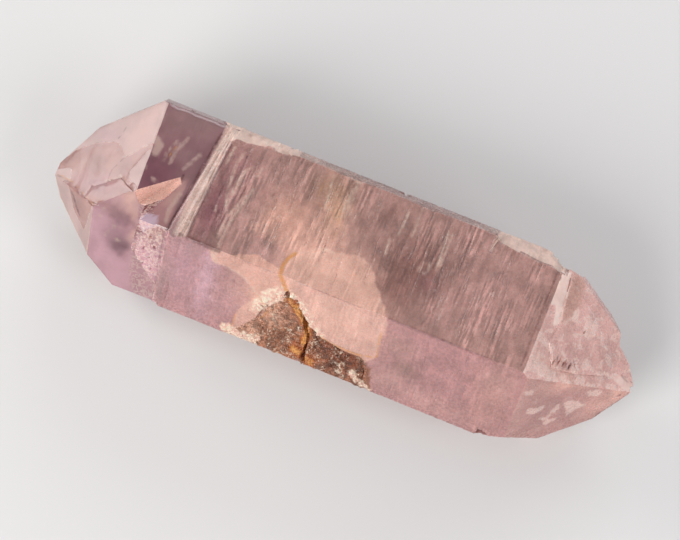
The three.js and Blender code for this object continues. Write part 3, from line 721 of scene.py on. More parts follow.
# %% Colour zones
TERRACE_OUTLINE = [
    (-30.6, 5), (-30.1, 1.5), (-29.8, -4.4), (-29.6, -8.5), (-28.8, -11.5), (-27, -15), (-20, -15), (-20, 5),
]
LEDGE = [("head_top", [(-22.4, 12), (-24.4, -9), (-20.6, -9), (-20.2, 12)])]
TAN_OUTLINE = [(20.7, 9.4), (23.5, 9.7), (23.7, 6.9), (23.2, 3.8), (21.6, 1.4), (20.8, 6.5)]
ZONES = {
    "bright": (DIM_ROSE, [
        (-31, 1, 4, 2, WARM_MAUVE, 0.6), (-24.4, 0, 1.6, 1.2, TAN, 0.5),
        (-22.4, -0.4, 1.0, 1.2, WARM_MAUVE, 0.8), (-26, -3.4, 5, 1.6, PINK_MAUVE, 0.6),
        (-33, -1, 3, 2, PALE_ROSE, 0.4),
    ]),
    "notch": (SALMON, [(-30.9, -8, 0.9, 3, HONEY, 0.5)]),
    "notch_floor": (SALMON, []),
    # The notch's far wall lies under the salmon facet, and its dark plum is painted shadow.
    "notch_far": (PLUM, []),
    "left_front": (ROSE, [(-28, -1.4, 2.4, 1.2, WARM_MAUVE, 0.6)]),
    "head_front": (PALE_ORCHID, [
        (-32.2, 5.6, 1.9, 2.4, PALE_SALMON, 1.0), (-31.0, 2.6, 1.1, 1.6, PALE_SALMON, 0.8),
        (-33.6, 1.8, 2.0, 1.2, PLUM, 0.6), (-32.4, 0.8, 1.4, 1.0, DEEP_VIOLET, 0.5),
        (-33.0, -2.6, 2.2, 2.4, VIOLET, 0.3), (-31.7, -4.4, 1.3, 1.8, DEEP_VIOLET, 0.8),
        (-32.9, -5.0, 1.2, 0.9, DEEP_VIOLET, 0.6), (-30.9, 0.6, 0.9, 0.8, DEEP_VIOLET, 0.7),
        (-30.2, -1.6, 0.7, 1.8, PALE_SALMON, 0.8), (-34.8, -10, 5, 3.2, PALE_ORCHID, 0.9),
        (-35.6, 2.6, 1.6, 1.6, WARM_MAUVE, 0.6),
    ]),
    "head_top": (VIOLET, [
        (-27, 10, 7, 3.4, GREY_VIOLET, 0.9), (-29.8, -0.6, 2.4, 2.6, DEEP_VIOLET, 0.8),
        (-24.6, 0, 1.6, 6, GREY_VIOLET, 0.6), (-26.6, 4.2, 1.4, 1.6, GREY_VIOLET, 0.7),
        (-30.6, 6.4, 1.6, 2.6, GREY_VIOLET, 0.5),
    ]),
    "terrace": (ORCHID, [(-26.4, 2.8, 1.6, 1.8, WARM_MAUVE, 0.6), (-28.4, 3.8, 1.0, 1.6, PLUM, 0.9)]),
    "top": (BROWN_MAUVE, [
        (-18.9, -2.4, 2.5, 6.0, PLUM, 1.0), (-18, 5.5, 3.0, 4.0, PLUM, 0.5),
        (-13.6, 0, 2.4, 8, DUSTY_ROSE, 0.7), (-8, 0.4, 4.0, 4.0, APRICOT, 0.75),
        (-3.4, -3.5, 5.0, 4.0, PEACH, 0.8), (4, -4.5, 4.6, 4.4, PEACH, 0.85),
        (8, -7.6, 3.6, 2.8, PEACH, 0.7), (-9.5, -5, 4, 3, DUSTY_ROSE, 0.7),
        (-3, 7.4, 3.2, 3.0, HONEY, 0.4), (-1.2, 3.4, 1.6, 2.6, HONEY, 0.7),
        (1.6, 2.0, 2.4, 3.2, TAN, 0.7), (6, 6.5, 5, 3.4, SMOKE, 0.5),
        (13, 0, 6.0, 6.0, DARK_SMOKE, 0.95), (6.5, 7.3, 1.4, 1.6, DARK_SMOKE, 0.6),
        (15.9, -0.7, 2.0, 1.4, PLUM, 0.35), (10.9, -4.4, 1.6, 1.4, DARK_SMOKE, 0.6),
        (19.4, -3.6, 2.4, 2.0, DUSTY_ROSE, 0.8), (25, 0, 6, 9, DUSTY_ROSE, 0.8),
        (28, -6.6, 4, 1.6, TAN, 0.5), (29, -6.6, 3, 1.2, PLUM, 0.2),
        (14, 7.5, 1.6, 2.0, BROWN_MAUVE, 0.7), (18.6, 8, 2.0, 3, DUSTY_ROSE, 0.5),
    ]),
    "front": (MAUVE, [
        (-20.6, 1, 3.0, 8, PINK_MAUVE, 0.9), (-23.4, -4, 1.6, 6, GREY_VIOLET, 0.8),
        (-20, 5.4, 2.4, 2, GREY_VIOLET, 0.5), (-16.3, 0, 1.5, 9, LAVENDER, 0.9),
        (-12.0, -1, 2.6, 6, WARM_MAUVE, 0.7), (-12.4, -2, 2.6, 6, PINK_MAUVE, 0.4),
        (16.9, -2.1, 2.4, 2.0, SMOKE, 0.8), (15, 2.5, 3.0, 2.0, BROWN_MAUVE, 0.6),
        (14, -5.6, 3.0, 2.0, ROSE, 0.6), (-7, 2, 4.5, 5, PEACH, 0.8), (4, 2, 6, 6, PEACH, 0.8),
        (-4.2, 5.0, 1.3, 2.0, AMBER, 0.5), (-7.4, 0.4, 1.2, 0.9, AMBER, 0.4),
        (31, 0, 3.4, 9, DIM_ROSE, 0.9), (31, 3, 2.6, 3.0, ROSE, 0.5), (22, -7, 8, 2.4, ROSE, 0.5),
    ]),
    "front_low": (DIM_ROSE, [(0, 0, 14, 8, TAN, 0.6)]),
    "under": (MAUVE, [(-10, 4, 12, 6, VIOLET, 0.3), (14, 5, 12, 6, SMOKE, 0.5)]),
    "back_low": (MAUVE, [
        (-20, -2, 8, 9, VIOLET, 0.7), (5, -4, 12, 8, SMOKE, 0.5), (28, -2, 8, 8, ROSE, 0.6),
        (-4, 3, 5, 4, PEACH, 0.5),
    ]),
    "back": (SMOKE, [
        (-18, -4, 9, 5, CREAM, 0.9), (29, -4, 6, 4, CREAM, 0.9), (12, -4, 8, 3, GREY_VIOLET, 0.4),
    ]),
    "head_back": (GREY_VIOLET, []),
    "head_low": (LAVENDER, []),
    "left_low": (ROSE, []),
    "left_under": (MAUVE, [(-27, 4, 5, 4, VIOLET, 0.5)]),
    "left_back_low": (MAUVE, []),
    "left_back": (PALE_ROSE, []),
    "point_top": (BLUSH, [
        (22.2, 7.0, 1.5, 3.0, PALE_TAN, 1.0), (22.6, 3.4, 1.0, 2.0, PALE_TAN, 0.8),
        (24.6, -1.0, 2.6, 2.2, ROSE, 0.6), (31, 0, 4, 4, ROSE, 0.5), (20, -4, 2.4, 3.4, BLUSH, 0.5),
        (25, -4.8, 6, 1.4, PALE_PEACH, 0.4), (29.6, 3.2, 3, 2.4, BLUSH, 0.5),
    ]),
    "point_front": (DIM_ROSE, [
        (28, -3, 8, 6, MAUVE, 0.4),
        (29, 3.4, 7, 1.5, SALMON, 0.8), (34, -3, 4, 3, SALMON, 0.5), (19, -2, 2.4, 8, ROSE, 0.6),
        (36.6, -0.6, 2, 2, SALMON, 0.7),
    ]),
    "point_low": (SALMON, []),
    "point_under": (ROSE, []),
    "point_back_low": (ROSE, []),
    "point_back": (ROSE, []),
    "low_corner": (ROSE, []),
}
AREAS = [
    # Painted shadow: a narrow grey-violet strip along the ledge, beside the head's top face.
    (GREY_VIOLET, 0.1, [("head_top top", [(-22.2, 12), (-24.4, -8.4), (-23.3, -8.6), (-21.6, 12)])]),
    (SAND, 0.25, [("head_top top", [
        (-23.1, -8.4), (-23.3, -3.4), (-22.8, 2.9), (-22.2, 12), (-20.4, 12), (-21.0, 0), (-20.9, -8),
    ])]),
    (MAUVE, 0.3, [("head_top head_front terrace notch_floor notch_far", [
        (-29.4, -8.8), (-27.6, -5.6), (-26.6, -3.0), (-25.2, -0.8), (-24.6, -0.6), (-24.3, -8.8),
    ])]),
    (ROSE, 0.4, [("head_top notch_floor terrace", [
        (-25.0, 0.3), (-24.6, 0.9), (-24.3, -1.3), (-25.2, -3.9), (-26.6, -4.2), (-26.3, -2.9),
    ])]),
    (PALE_LAVENDER, 0.1, [("head_top head_front terrace notch_far", [
        (-29.0, -7.7), (-28.1, -6.3), (-26.3, -6.2), (-26.0, -7.7), (-28.0, -8.9),
    ])]),
    (ORCHID, 0.3, [("head_front", TERRACE_OUTLINE)]),
    (PALE_TAN, 0.25, [("point_top", TAN_OUTLINE)]),
]
SCAR_ZONES = (BROWN, [
    (7, -5.5, 5, 4, UMBER, 0.9), (-5, -2.5, 2.4, 2.6, GREY_BROWN, 0.9), (-3, -8, 3, 2, BROWN, 0.8),
    (-8, -7, 2, 2, GREY_BROWN, 0.9),
])
FILM_ZONES = {
    "bright": (FROST, [(-21, 7, 4, 5, PALE_ROSE, 0.8), (-28.5, 4.8, 2.6, 1.4, LAVENDER, 0.5)]),
    "left_front": (FROST, []),
    "terrace": (LAVENDER, []),
    "point_top": (PEARL, [(37, 0, 4, 4, PALE_ROSE, 0.6)]),
    "point_front": (PEARL, []),
    "back": (CREAM, []),
    "top": (CREAM, []),
}


def lay_patches(colours, spots, patches):
    """Soft patches, whose borders wander with a few waves, as clouds in a crystal do."""
    x, s = spots.T
    wander_x = 0.35 * np.sin(1.7 * s + 2 * np.sin(0.9 * x)) + 0.2 * np.sin(3.9 * s + 1.3 * x)
    wander_s = 0.35 * np.sin(1.5 * x + 2 * np.sin(1.1 * s)) + 0.2 * np.sin(4.3 * x - 1.9 * s)
    spots = spots + np.stack([wander_x, wander_s], 1)
    for x, s, reach_x, reach_s, colour, strength in patches:
        gap = ((spots[:, 0] - x) / reach_x) ** 2 + ((spots[:, 1] - s) / reach_s) ** 2
        share = (strength * np.exp(-gap))[:, None]
        colours = colours * (1 - share) + colour * share
    return colours


def painted(zones, missing):
    """The colour of each corner: its face's own colour with the soft patches laid over it."""
    colours = np.tile(missing, (len(corners), 1))
    for name, (own, patches) in zones.items():
        here = corner_kinds == FACE_NAMES.index(name)
        start = np.tile(own, (here.sum(), 1))
        colours[here] = lay_patches(start, flat_on(name, corners[here]), patches)
    return colours


ground = painted(ZONES, MAUVE)
for colour, softness, outlines in AREAS:
    share = np.clip(depth_in(outlines, corners, corner_kinds) / softness + 0.5, 0, 1)[:, None]
    ground = ground * (1 - share) + colour * share
broken = corner_marks["scar"] > -SCAR_MARGIN
ground[broken] = lay_patches(
    np.tile(SCAR_ZONES[0], (broken.sum(), 1)), flat_on("front", corners[broken]), SCAR_ZONES[1],
)
film_colour = painted(FILM_ZONES, PALE_ROSE)
print("ground colour, mean", ground.mean(0).round(3))

# %% [markdown]
# Each face also has its own texture. These shares, from 0 to 1, say how strongly a face shows
# growth lines, grain, worm-like etching and pale blotches. A few areas change them: the ledge and
# the calm part of the top face lose their lines, the etched terrace reaches over the head's front
# face, the stain dulls the grain, and the tan strip has no blotches.

# %% Textures of the faces
TEXTURES = {
    "top": (1.0, 0.35, 0, 0),
    "front": (0.35, 1.0, 0, 0),
    "front_low": (1.0, 0.5, 0, 0),
    "under": (0.6, 0.4, 0, 0),
    "back_low": (1.0, 0.5, 0, 0),
    "back": (0.8, 1.0, 0, 0.3),
    "terrace": (0, 0.35, 1.0, 0),
    "notch": (0, 0, 0, 0),
    "notch_floor": (0, 0, 0, 0),
    "notch_far": (0, 0, 0.7, 0),
    "head_top": (0.08, 0, 0, 0),
    "head_front": (0, 0.1, 0, 0),
    "bright": (0, 0.15, 0, 0),
    "left_front": (0, 0.15, 0, 0.1),
    "point_top": (0, 0.5, 0, 1.0),
    "point_front": (0, 0.5, 0, 0.15),
    "point_low": (0, 0.5, 0, 0.6),
    "point_under": (0, 0.5, 0, 0.6),
    "point_back_low": (0, 0.5, 0, 0.8),
    "point_back": (0, 0.5, 0, 0.8),
    "low_corner": (0.4, 0.8, 0, 0.2),
}
USUAL_TEXTURE = (0.1, 0.2, 0, 0)
TERRACE_GRAIN = 0.35


def soft_share(depth, softness):
    """A share that rises from 0 to 1 across a border of this softness, in millimetres."""
    return np.clip(depth / softness + 0.5, 0, 1)


shares = np.array([TEXTURES.get(name, USUAL_TEXTURE) for name in FACE_NAMES])[corner_kinds]
top_x, top_s = flat_on("top", corners).T
calm_gap_x = (top_x - CALM_ALONG[0]) / CALM_ALONG[1]
calm_gap_s = (top_s - CALM_ACROSS[0]) / CALM_ACROSS[1]
calm = np.exp(-(calm_gap_x**2) - calm_gap_s**2)
shares[:, 0] *= np.where(corner_kinds == FACE_NAMES.index("top"), 1 - 0.75 * calm, 1)
shares[:, 0] *= 1 - soft_share(depth_in(LEDGE, corners, corner_kinds), 1)
terrace_depth = depth_in([("head_front", TERRACE_OUTLINE)], corners, corner_kinds)
terrace_share = soft_share(terrace_depth, 0.8)
shares[:, 1] = np.maximum(shares[:, 1], TERRACE_GRAIN * terrace_share)
shares[:, 2] = np.maximum(shares[:, 2], terrace_share)
stain_depth = np.maximum(corner_marks["stain"], corner_marks["lobe"])
shares[:, 1] *= 1 - 0.6 * soft_share(stain_depth, 1)
tan_depth = depth_in([("point_top", TAN_OUTLINE)], corners, corner_kinds)
shares[:, 3] *= 1 - soft_share(tan_depth, 0.4)
corner_values = dict(zip(("lined", "grainy", "wormy", "blotchy"), shares.T))
print({name: round(float(values.mean()), 2) for name, values in corner_values.items()})

# %% [markdown]
# The crystal needs three finishes: the clear head, the milky body and the dry, rough scar. They
# are slots of one mesh, because it is one piece. A cell of the mesh takes the finish of the face
# that it belongs to.

# %% The finished mesh
CLEAR, MILKY, BROKEN = range(3)
CLEAR_FACES = [i for i, name in enumerate(FACE_NAMES) if name.startswith(("head", "bright", "left"))]

cell_scar = depth_in(SCAR, cell_middles, cell_kinds)
cell_ledge = depth_in(LEDGE, cell_middles, cell_kinds)
for i, face in enumerate(crystal_mesh.faces):
    if cell_scar[i] > 0:
        face.material_index = BROKEN
    elif cell_kinds[i] in CLEAR_FACES and cell_ledge[i] < 0:
        face.material_index = CLEAR
    else:
        face.material_index = MILKY

crystal_data = bpy.data.meshes.new("crystal")
crystal_mesh.to_mesh(crystal_data)
for name, values in {**corner_marks, **corner_values}.items():
    attribute = crystal_data.attributes.new(name, "FLOAT", "CORNER")
    attribute.data.foreach_set("value", values.astype(np.float32))
for name, colours in (("ground", ground), ("film_colour", film_colour)):
    attribute = crystal_data.attributes.new(name, "FLOAT_COLOR", "CORNER")
    whole = np.concatenate([colours, np.ones((len(colours), 1))], 1)
    attribute.data.foreach_set("color", whole.astype(np.float32).ravel())
crystal = bpy.data.objects.new("crystal", crystal_data)
bpy.context.scene.collection.objects.link(crystal)
triangles = sum(len(polygon.vertices) - 2 for polygon in crystal_data.polygons)
print("crystal has", triangles, "triangles")

# %% [markdown]
# A few small tools make the shader nodes short to write: they add a node or a noise, mix two
# colours, run a sum, spread a value between two limits and start a group. A material is then a
# list of steps from the ground colour to the finish.

# %% Node tools
def add_node(tree, kind, inputs=(), **settings):
    made = tree.nodes.new(kind)
    for key, value in settings.items():
        setattr(made, key, value)
    for key, value in dict(inputs).items():
        if isinstance(value, bpy.types.NodeSocket):
            tree.links.new(value, made.inputs[key])
        else:
            made.inputs[key].default_value = value
    return made


def add_noise(tree, vector, scale, detail, **inputs):
    """A noise from 0 to 1. Further inputs go by the names of their sockets."""
    inputs = {"Vector": vector, "Scale": scale, "Detail": detail, **inputs}
    return add_node(tree, "ShaderNodeTexNoise", inputs).outputs["Fac"]


def squeeze(tree, vector, along, across):
    """The place scaled along and across the crystal, so that a noise laid on it is stretched."""
    inputs = {"Vector": vector, "Scale": (along, across, across)}
    return add_node(tree, "ShaderNodeMapping", inputs).outputs["Vector"]


MIX_FACTOR, MIX_A, MIX_B, MIX_RESULT = 0, 6, 7, 2


def mix_colour(tree, share, first, second, blend="MIX"):
    """Lays the second colour over the first by a share from 0 to 1."""
    inputs = {MIX_FACTOR: share, MIX_A: first, MIX_B: second}
    return add_node(tree, "ShaderNodeMix", inputs, data_type="RGBA", blend_type=blend).outputs[MIX_RESULT]


def work_out(tree, operation, *values):
    made = add_node(tree, "ShaderNodeMath", dict(enumerate(values)), operation=operation)
    return made.outputs[0]


def stretch(tree, value, low, high, to_low=0.0, to_high=1.0):
    inputs = {"Value": value, "From Min": low, "From Max": high, "To Min": to_low, "To Max": to_high}
    return add_node(tree, "ShaderNodeMapRange", inputs, interpolation_type="SMOOTHSTEP").outputs[0]


def start_group(name, inputs, outputs):
    """A node group with named sockets: each input is a name, a kind and a usual value."""
    group = bpy.data.node_groups.new(name, "ShaderNodeTree")
    for socket_name, kind, value in inputs:
        socket = group.interface.new_socket(socket_name, in_out="INPUT", socket_type=kind)
        if value is not None:
            socket.default_value = value
    for socket_name, kind in outputs:
        group.interface.new_socket(socket_name, in_out="OUTPUT", socket_type=kind)
    return group, group.nodes.new("NodeGroupInput").outputs, group.nodes.new("NodeGroupOutput").inputs


def place_group(tree, group, inputs):
    return add_node(tree, "ShaderNodeGroup", inputs, node_tree=group).outputs


print("node tools ready")

# %% [markdown]
# The border of a natural mark is ragged. This group takes a depth in millimetres and shakes it
# with a noise before it is cut off, so a plain outline of a few points gets a natural border.

# %% Ragged border
border, given, wanted = start_group(
    "ragged border",
    [("Depth", "NodeSocketFloat", 0.0), ("Vector", "NodeSocketVector", None),
     ("Raggedness", "NodeSocketFloat", 0.5), ("Softness", "NodeSocketFloat", 0.2),
     ("Fineness", "NodeSocketFloat", 0.8)],
    [("Mask", "NodeSocketFloat")],
)
shake = add_noise(border, given["Vector"], given["Fineness"], 4.0)
centred = work_out(border, "SUBTRACT", shake, 0.5)
shaken = work_out(border, "MULTIPLY_ADD", centred, given["Raggedness"], given["Depth"])
cut_low = work_out(border, "MULTIPLY", given["Softness"], -1.0)
soft_cut = stretch(border, shaken, cut_low, given["Softness"])
border.links.new(soft_cut, wanted["Mask"])
print("border group has", len(border.nodes), "nodes")

# %% [markdown]
# Growth lines too fine for the mesh are drawn by a noise that is stretched across the crystal.
# The group gives the lines, which serve as a mask for colour and as a height for a bump, the
# patches where they are strong, and a soft mottle that is stretched the same way.

# %% Fine growth lines
lines, given, wanted = start_group(
    "fine growth lines",
    [("Vector", "NodeSocketVector", None)],
    [("Lines", "NodeSocketFloat"), ("Patches", "NodeSocketFloat"), ("Mottle", "NodeSocketFloat")],
)
line_noise = add_noise(lines, squeeze(lines, given["Vector"], 1.0, 0.09), 3.0, 6.0, Roughness=0.62)
lines.links.new(stretch(lines, line_noise, 0.40, 0.64), wanted["Lines"])
patch_noise = add_noise(lines, squeeze(lines, given["Vector"], 0.5, 0.2), 0.7, 3.0)
lines.links.new(stretch(lines, patch_noise, 0.4, 0.62), wanted["Patches"])
mottle_noise = add_noise(lines, squeeze(lines, given["Vector"], 1.0, 0.45), 0.75, 5.0, Roughness=0.55)
lines.links.new(stretch(lines, mottle_noise, 0.34, 0.66), wanted["Mottle"])
print("growth line group has", len(lines.nodes), "nodes")

# %% [markdown]
# Etching leaves a fine grain and scattered pits on quartz. The grain is a small noise, kept low so
# that the faces look satin and not pebbly. The pits are the middles of Voronoi cells, kept only
# where a second noise lets them through.

# %% Etched grain
etching, given, wanted = start_group(
    "etched grain",
    [("Vector", "NodeSocketVector", None), ("Size", "NodeSocketFloat", 1.0),
     ("Amount", "NodeSocketFloat", 0.5)],
    [("Grain", "NodeSocketFloat"), ("Pits", "NodeSocketFloat")],
)
closeness = work_out(etching, "DIVIDE", 1.0, given["Size"])
grain_scale = work_out(etching, "MULTIPLY", closeness, 2.0)
grain_noise = add_noise(etching, given["Vector"], grain_scale, 3.0)
etching.links.new(stretch(etching, grain_noise, 0.3, 0.7), wanted["Grain"])
cells = add_node(etching, "ShaderNodeTexVoronoi", {"Vector": given["Vector"], "Scale": closeness})
pit = stretch(etching, cells.outputs["Distance"], 0.10, 0.26, 1.0, 0.0)
sieve = add_noise(etching, given["Vector"], 0.45, 2.0)
least = work_out(etching, "SUBTRACT", 0.95, given["Amount"])
let_through = work_out(etching, "GREATER_THAN", sieve, least)
etching.links.new(work_out(etching, "MULTIPLY", pit, let_through), wanted["Pits"])
print("grain group has", len(etching.nodes), "nodes")

# %% [markdown]
# The frosted point has pale blotches of skin with clear borders, and the terrace has pale ridges
# that wander like worms. Each comes from a noise of its own: the blotches are where it is high,
# and the ridges are where it passes its middle value. A slow noise adds broad clouds, and small
# Voronoi cells give each tiny crystal of the scar's crust its own tone.

# %% Blotches and worms
skin, given, wanted = start_group(
    "blotches and worms",
    [("Vector", "NodeSocketVector", None)],
    [("Blotches", "NodeSocketFloat"), ("Worms", "NodeSocketFloat"), ("Clouds", "NodeSocketFloat"),
     ("Facets", "NodeSocketFloat")],
)
blotch_noise = add_noise(skin, given["Vector"], 0.62, 3.0, Roughness=0.55, Distortion=0.6)
skin.links.new(stretch(skin, blotch_noise, 0.54, 0.58), wanted["Blotches"])
worm_noise = add_noise(skin, given["Vector"], 1.25, 2.0, Distortion=0.6)
off_middle = work_out(skin, "ABSOLUTE", work_out(skin, "SUBTRACT", worm_noise, 0.5))
skin.links.new(stretch(skin, off_middle, 0.03, 0.07, 1.0, 0.0), wanted["Worms"])
cloud_noise = add_noise(skin, given["Vector"], 0.28, 5.0)
skin.links.new(stretch(skin, cloud_noise, 0.3, 0.7), wanted["Clouds"])
tiny = add_node(skin, "ShaderNodeTexVoronoi", {"Vector": given["Vector"], "Scale": 2.4})
tiny_tone = add_node(skin, "ShaderNodeSeparateColor", {"Color": tiny.outputs["Color"]})
skin.links.new(tiny_tone.outputs["Red"], wanted["Facets"])
print("node groups:", [group.name for group in bpy.data.node_groups])

# %% [markdown]
# Quartz bends light by an index of 1.544, and amethyst's violet sits in its volume, so it is a
# plain absorption. The clear head lets more light through. The milky body holds veils that
# scatter it, so more of its look comes from the base colour. The colour is built up in layers
# that both finishes share: the ground, the stain, the film, the growth lines and grain over them,
# and last the strokes.

# %% Layers of colour
QUARTZ_IOR = 1.544
FRAME_TO_MILLIMETRES = 1000


def read(tree, name):
    made = tree.nodes.new("ShaderNodeAttribute")
    made.attribute_name = name
    return made.outputs["Fac"] if name not in ("ground", "film_colour") else made.outputs["Color"]


def millimetres(tree):
    """Object coordinates in millimetres, measured from the crystal's own axis."""
    place = tree.nodes.new("ShaderNodeTexCoord").outputs["Object"]
    inputs = {"Vector": place, "Scale": (FRAME_TO_MILLIMETRES,) * 3, "Location": tuple(-AXIS_PLACE)}
    return add_node(tree, "ShaderNodeMapping", inputs).outputs["Vector"]


def cut_mark(tree, name, vector, raggedness, softness, fineness=0.8):
    return place_group(tree, border, {
        "Depth": read(tree, name), "Vector": vector, "Raggedness": raggedness, "Softness": softness,
        "Fineness": fineness,
    })["Mask"]


def lay(tree, colour, mask, strength, paint):
    """Paint laid over the colour where the mask is, at this strength."""
    return mix_colour(tree, work_out(tree, "MULTIPLY", mask, strength), colour, (*paint, 1))


def shade(tree, colour, value, low, high):
    """The colour made darker or lighter by a pattern from 0 to 1."""
    factor = stretch(tree, value, 0.0, 1.0, low, high)
    grey = add_node(tree, "ShaderNodeCombineColor", {"Red": factor, "Green": factor, "Blue": factor})
    return mix_colour(tree, 1.0, colour, grey.outputs["Color"], "MULTIPLY")


def patterned(tree, colour, fine, etched, patterns):
    colour = shade(tree, colour, patterns["Clouds"], 0.91, 1.09)
    mottled = shade(tree, colour, fine["Mottle"], 0.89, 1.11)
    colour = mix_colour(tree, read(tree, "lined"), colour, mottled)
    lined = shade(tree, colour, fine["Lines"], 0.72, 1.36)
    line_share = work_out(tree, "MULTIPLY", read(tree, "lined"), fine["Patches"])
    colour = mix_colour(tree, line_share, colour, lined)
    grained = shade(tree, colour, etched["Grain"], 0.93, 1.07)
    colour = mix_colour(tree, read(tree, "grainy"), colour, grained)
    worms = work_out(tree, "MULTIPLY", patterns["Worms"], read(tree, "wormy"))
    colour = lay(tree, colour, worms, 0.7, PEARL)
    skin_share = work_out(tree, "MULTIPLY", patterns["Blotches"], read(tree, "blotchy"))
    return lay(tree, colour, skin_share, 0.6, PEARL)


def stained(tree, colour, vector):
    colour = lay(tree, colour, cut_mark(tree, "diffuse", vector, 2.0, 0.5), 0.4, PEACH)
    colour = lay(tree, colour, cut_mark(tree, "lobe", vector, 0.5, 0.12), 0.75, PEACH)
    return lay(tree, colour, cut_mark(tree, "stain", vector, 1.2, 0.25), 0.65, PALE_PEACH)


def filmed(tree, colour, vector, film):
    colour = lay(tree, colour, cut_mark(tree, "blotch", vector, 1.1, 0.12, 1.2), 0.55, PEARL)
    return mix_colour(tree, film, colour, read(tree, "film_colour"))


STROKE_FINISHES = {
    "amber_line": (0.2, 0.16, 1.5, 0.8, AMBER),
    "veil": (0.7, 0.3, 1.2, 0.6, CREAM),
    # Ivory growth streaks, and painted highlights along edges and rims.
    "streak_and_highlight": (0.5, 0.26, 1.6, 0.55, IVORY),
    # Painted shade along edges and in steps, laid in dark wine.
    "painted_shade_line": (0.25, 0.16, 1.6, 0.65, SHADE_WINE),
}


def fine_lines(tree, colour, vector, facets):
    """The scar's crust, whose whitest tiny crystals are partly painted sparkle, and the strokes, each with
    raggedness, softness, fineness, strength and paint.
    """
    # Peach to near-white tiny crystals: their own cream colour, with painted sparkle on the whitest.
    crust = mix_colour(tree, stretch(tree, facets, 0.35, 0.75), (*PALE_PEACH, 1), (*CRUST_AND_GLINT_WHITE, 1))
    colour = mix_colour(tree, cut_mark(tree, "crust", vector, 2.6, 0.3, 1.1), colour, crust)
    for name, (raggedness, softness, fineness, strength, paint) in STROKE_FINISHES.items():
        mask = cut_mark(tree, name, vector, raggedness, softness, fineness)
        colour = lay(tree, colour, mask, strength, paint)
    return colour


print("layers ready")

# %% [markdown]
# One function makes both kinds of quartz. They differ in how much light they let through, how much
# the veils scatter, how smooth they are and how strongly the fine patterns stand out. A volume
# that scatters would be truer to the milky body, but subsurface light is far quicker to render.

# %% Clear and milky quartz
def quartz(name, transmission, haze, gloss, tint, density, relief):
    material = make_material(name)
    tree = material.node_tree
    shader = tree.nodes["Principled BSDF"]
    vector = millimetres(tree)
    fine = place_group(tree, lines, {"Vector": vector})
    etched = place_group(tree, etching, {"Vector": vector, "Size": 1.0, "Amount": 0.32})
    patterns = place_group(tree, skin, {"Vector": vector})
    film = cut_mark(tree, "film", vector, 0.7, 0.12)
    colour = stained(tree, read(tree, "ground"), vector)
    colour = filmed(tree, colour, vector, film)
    colour = patterned(tree, colour, fine, etched, patterns)
    colour = fine_lines(tree, colour, vector, patterns["Facets"])
    pits = work_out(tree, "MULTIPLY", etched["Pits"], read(tree, "grainy"))
    # The pits are darkened with wine: painted shade in them.
    colour = lay(tree, colour, pits, 0.09, SHADE_WINE)
    tree.links.new(colour, shader.inputs["Base Color"])

    rough = stretch(tree, etched["Grain"], 0.3, 0.7, gloss, gloss + 0.08)
    tree.links.new(work_out(tree, "MULTIPLY_ADD", film, 0.22, rough), shader.inputs["Roughness"])

    line_height = work_out(tree, "MULTIPLY", fine["Lines"], read(tree, "lined"))
    grain_share = work_out(tree, "MULTIPLY", read(tree, "grainy"), 0.25)
    grain_height = work_out(tree, "MULTIPLY", etched["Grain"], grain_share)
    worm_height = work_out(tree, "MULTIPLY", patterns["Worms"], read(tree, "wormy"))
    height = work_out(tree, "ADD", work_out(tree, "ADD", line_height, grain_height), worm_height)
    height = work_out(tree, "MULTIPLY_ADD", pits, -0.15, height)
    bump = add_node(tree, "ShaderNodeBump", {"Height": height, "Strength": relief, "Distance": 0.05 * MM})
    tree.links.new(bump.outputs["Normal"], shader.inputs["Normal"])

    shader.inputs["IOR"].default_value = QUARTZ_IOR
    shader.inputs["Transmission Weight"].default_value = transmission
    shader.inputs["Subsurface Weight"].default_value = haze
    shader.inputs["Subsurface Radius"].default_value = (1.0, 0.6, 0.5)
    shader.inputs["Subsurface Scale"].default_value = 1.5 * MM
    inside = add_node(tree, "ShaderNodeVolumeAbsorption", {"Color": tint, "Density": density})
    tree.links.new(inside.outputs["Volume"], tree.nodes["Material Output"].inputs["Volume"])
    return material


clear_quartz = quartz(
    "clear amethyst", transmission=0.5, haze=0.1, gloss=0.08, tint=(0.62, 0.40, 0.56, 1), density=40,
    relief=0.3,
)
milky_quartz = quartz(
    "milky amethyst", transmission=0.3, haze=0.3, gloss=0.24, tint=(0.72, 0.50, 0.56, 1), density=50,
    relief=0.5,
)
print("clear and milky quartz made")
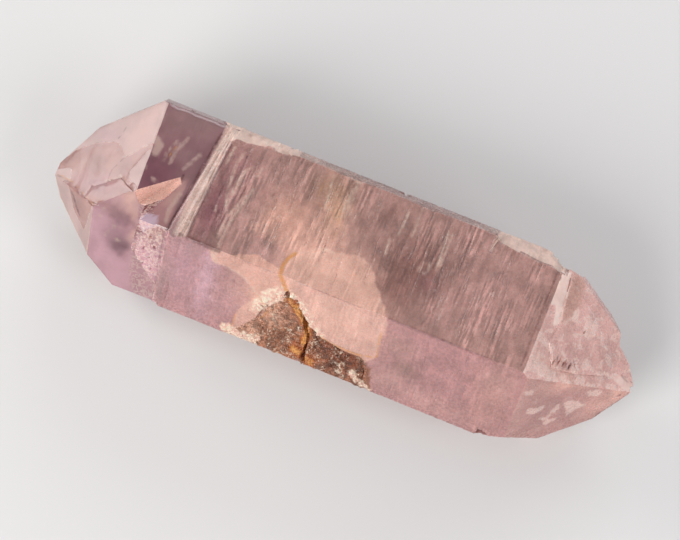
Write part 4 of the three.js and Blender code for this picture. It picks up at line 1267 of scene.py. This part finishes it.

# %% [markdown]
# The scar is where the crystal was joined to something that broke away. It is dry and brown with
# iron, with countless tiny faces that flash. Small Voronoi cells give each tiny face its own
# tilt and tone. Painted glints, pale flecks that stand for the light flashing off those faces,
# run where a twisted noise passes its middle value. The crack's orange iron is laid in with the
# same marks as before, painted lighter in the middle of the crack against the shade in its groove.

# %% The broken scar
def broken_quartz(name):
    material = make_material(name)
    tree = material.node_tree
    shader = tree.nodes["Principled BSDF"]
    vector = millimetres(tree)
    etched = place_group(tree, etching, {"Vector": vector, "Size": 0.8})
    facets = add_node(tree, "ShaderNodeTexVoronoi", {"Vector": vector, "Scale": 2.8})
    tones = add_node(tree, "ShaderNodeSeparateColor", {"Color": facets.outputs["Color"]})
    broad = add_noise(tree, vector, 0.8, 6.0, Distortion=1.0)
    colour = shade(tree, read(tree, "ground"), stretch(tree, broad, 0.35, 0.65), 0.6, 1.3)
    colour = shade(tree, colour, tones.outputs["Green"], 0.88, 1.12)
    # Painted glints: pale flecks for light flashing off the tiny faces that are turned to it.
    glint_noise = add_noise(tree, vector, 0.9, 3.0, Distortion=1.8)
    off_middle = work_out(tree, "ABSOLUTE", work_out(tree, "SUBTRACT", glint_noise, 0.5))
    glint = stretch(tree, off_middle, 0.01, 0.05, 1.0, 0.0)
    swarm = add_noise(tree, vector, 0.5, 3.0)
    turned = stretch(tree, tones.outputs["Red"], 0.35, 0.5)
    catches_light = work_out(tree, "MULTIPLY", turned, stretch(tree, swarm, 0.46, 0.58))
    colour = lay(tree, colour, work_out(tree, "MULTIPLY", glint, catches_light), 0.9, CRUST_AND_GLINT_WHITE)
    # The iron's amber is laid lighter in the middle of the crack than the rust at its sides: partly its own
    # colour, partly painted light against the shade in the groove.
    iron = mix_colour(tree, stretch(tree, read(tree, "crack"), 0.2, 0.6), (*RUST, 1), (*AMBER, 1))
    iron = shade(tree, iron, etched["Grain"], 0.8, 1.3)
    colour = mix_colour(tree, cut_mark(tree, "crack", vector, 0.9, 0.35, 1.2), colour, iron)
    colour = lay(tree, colour, cut_mark(tree, "hole", vector, 0.3, 0.15, 1.6), 0.7, RUST)
    colour = fine_lines(tree, colour, vector, tones.outputs["Red"])
    tree.links.new(colour, shader.inputs["Base Color"])
    rough = stretch(tree, etched["Grain"], 0.3, 0.7, 0.12, 0.42)
    tree.links.new(rough, shader.inputs["Roughness"])
    height = work_out(tree, "MULTIPLY_ADD", facets.outputs["Distance"], 1.4, etched["Grain"])
    bump = add_node(tree, "ShaderNodeBump", {"Height": height, "Strength": 0.8, "Distance": 0.2 * MM})
    tree.links.new(bump.outputs["Normal"], shader.inputs["Normal"])
    shader.inputs["IOR"].default_value = QUARTZ_IOR
    shader.inputs["Transmission Weight"].default_value = 0.2
    return material


for finish in (clear_quartz, milky_quartz, broken_quartz("broken amethyst")):
    crystal_data.materials.append(finish)
print("finishes:", [m.name for m in crystal_data.materials])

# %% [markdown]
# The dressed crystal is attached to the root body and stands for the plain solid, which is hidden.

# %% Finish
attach(crystal, "root")
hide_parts(NODE)
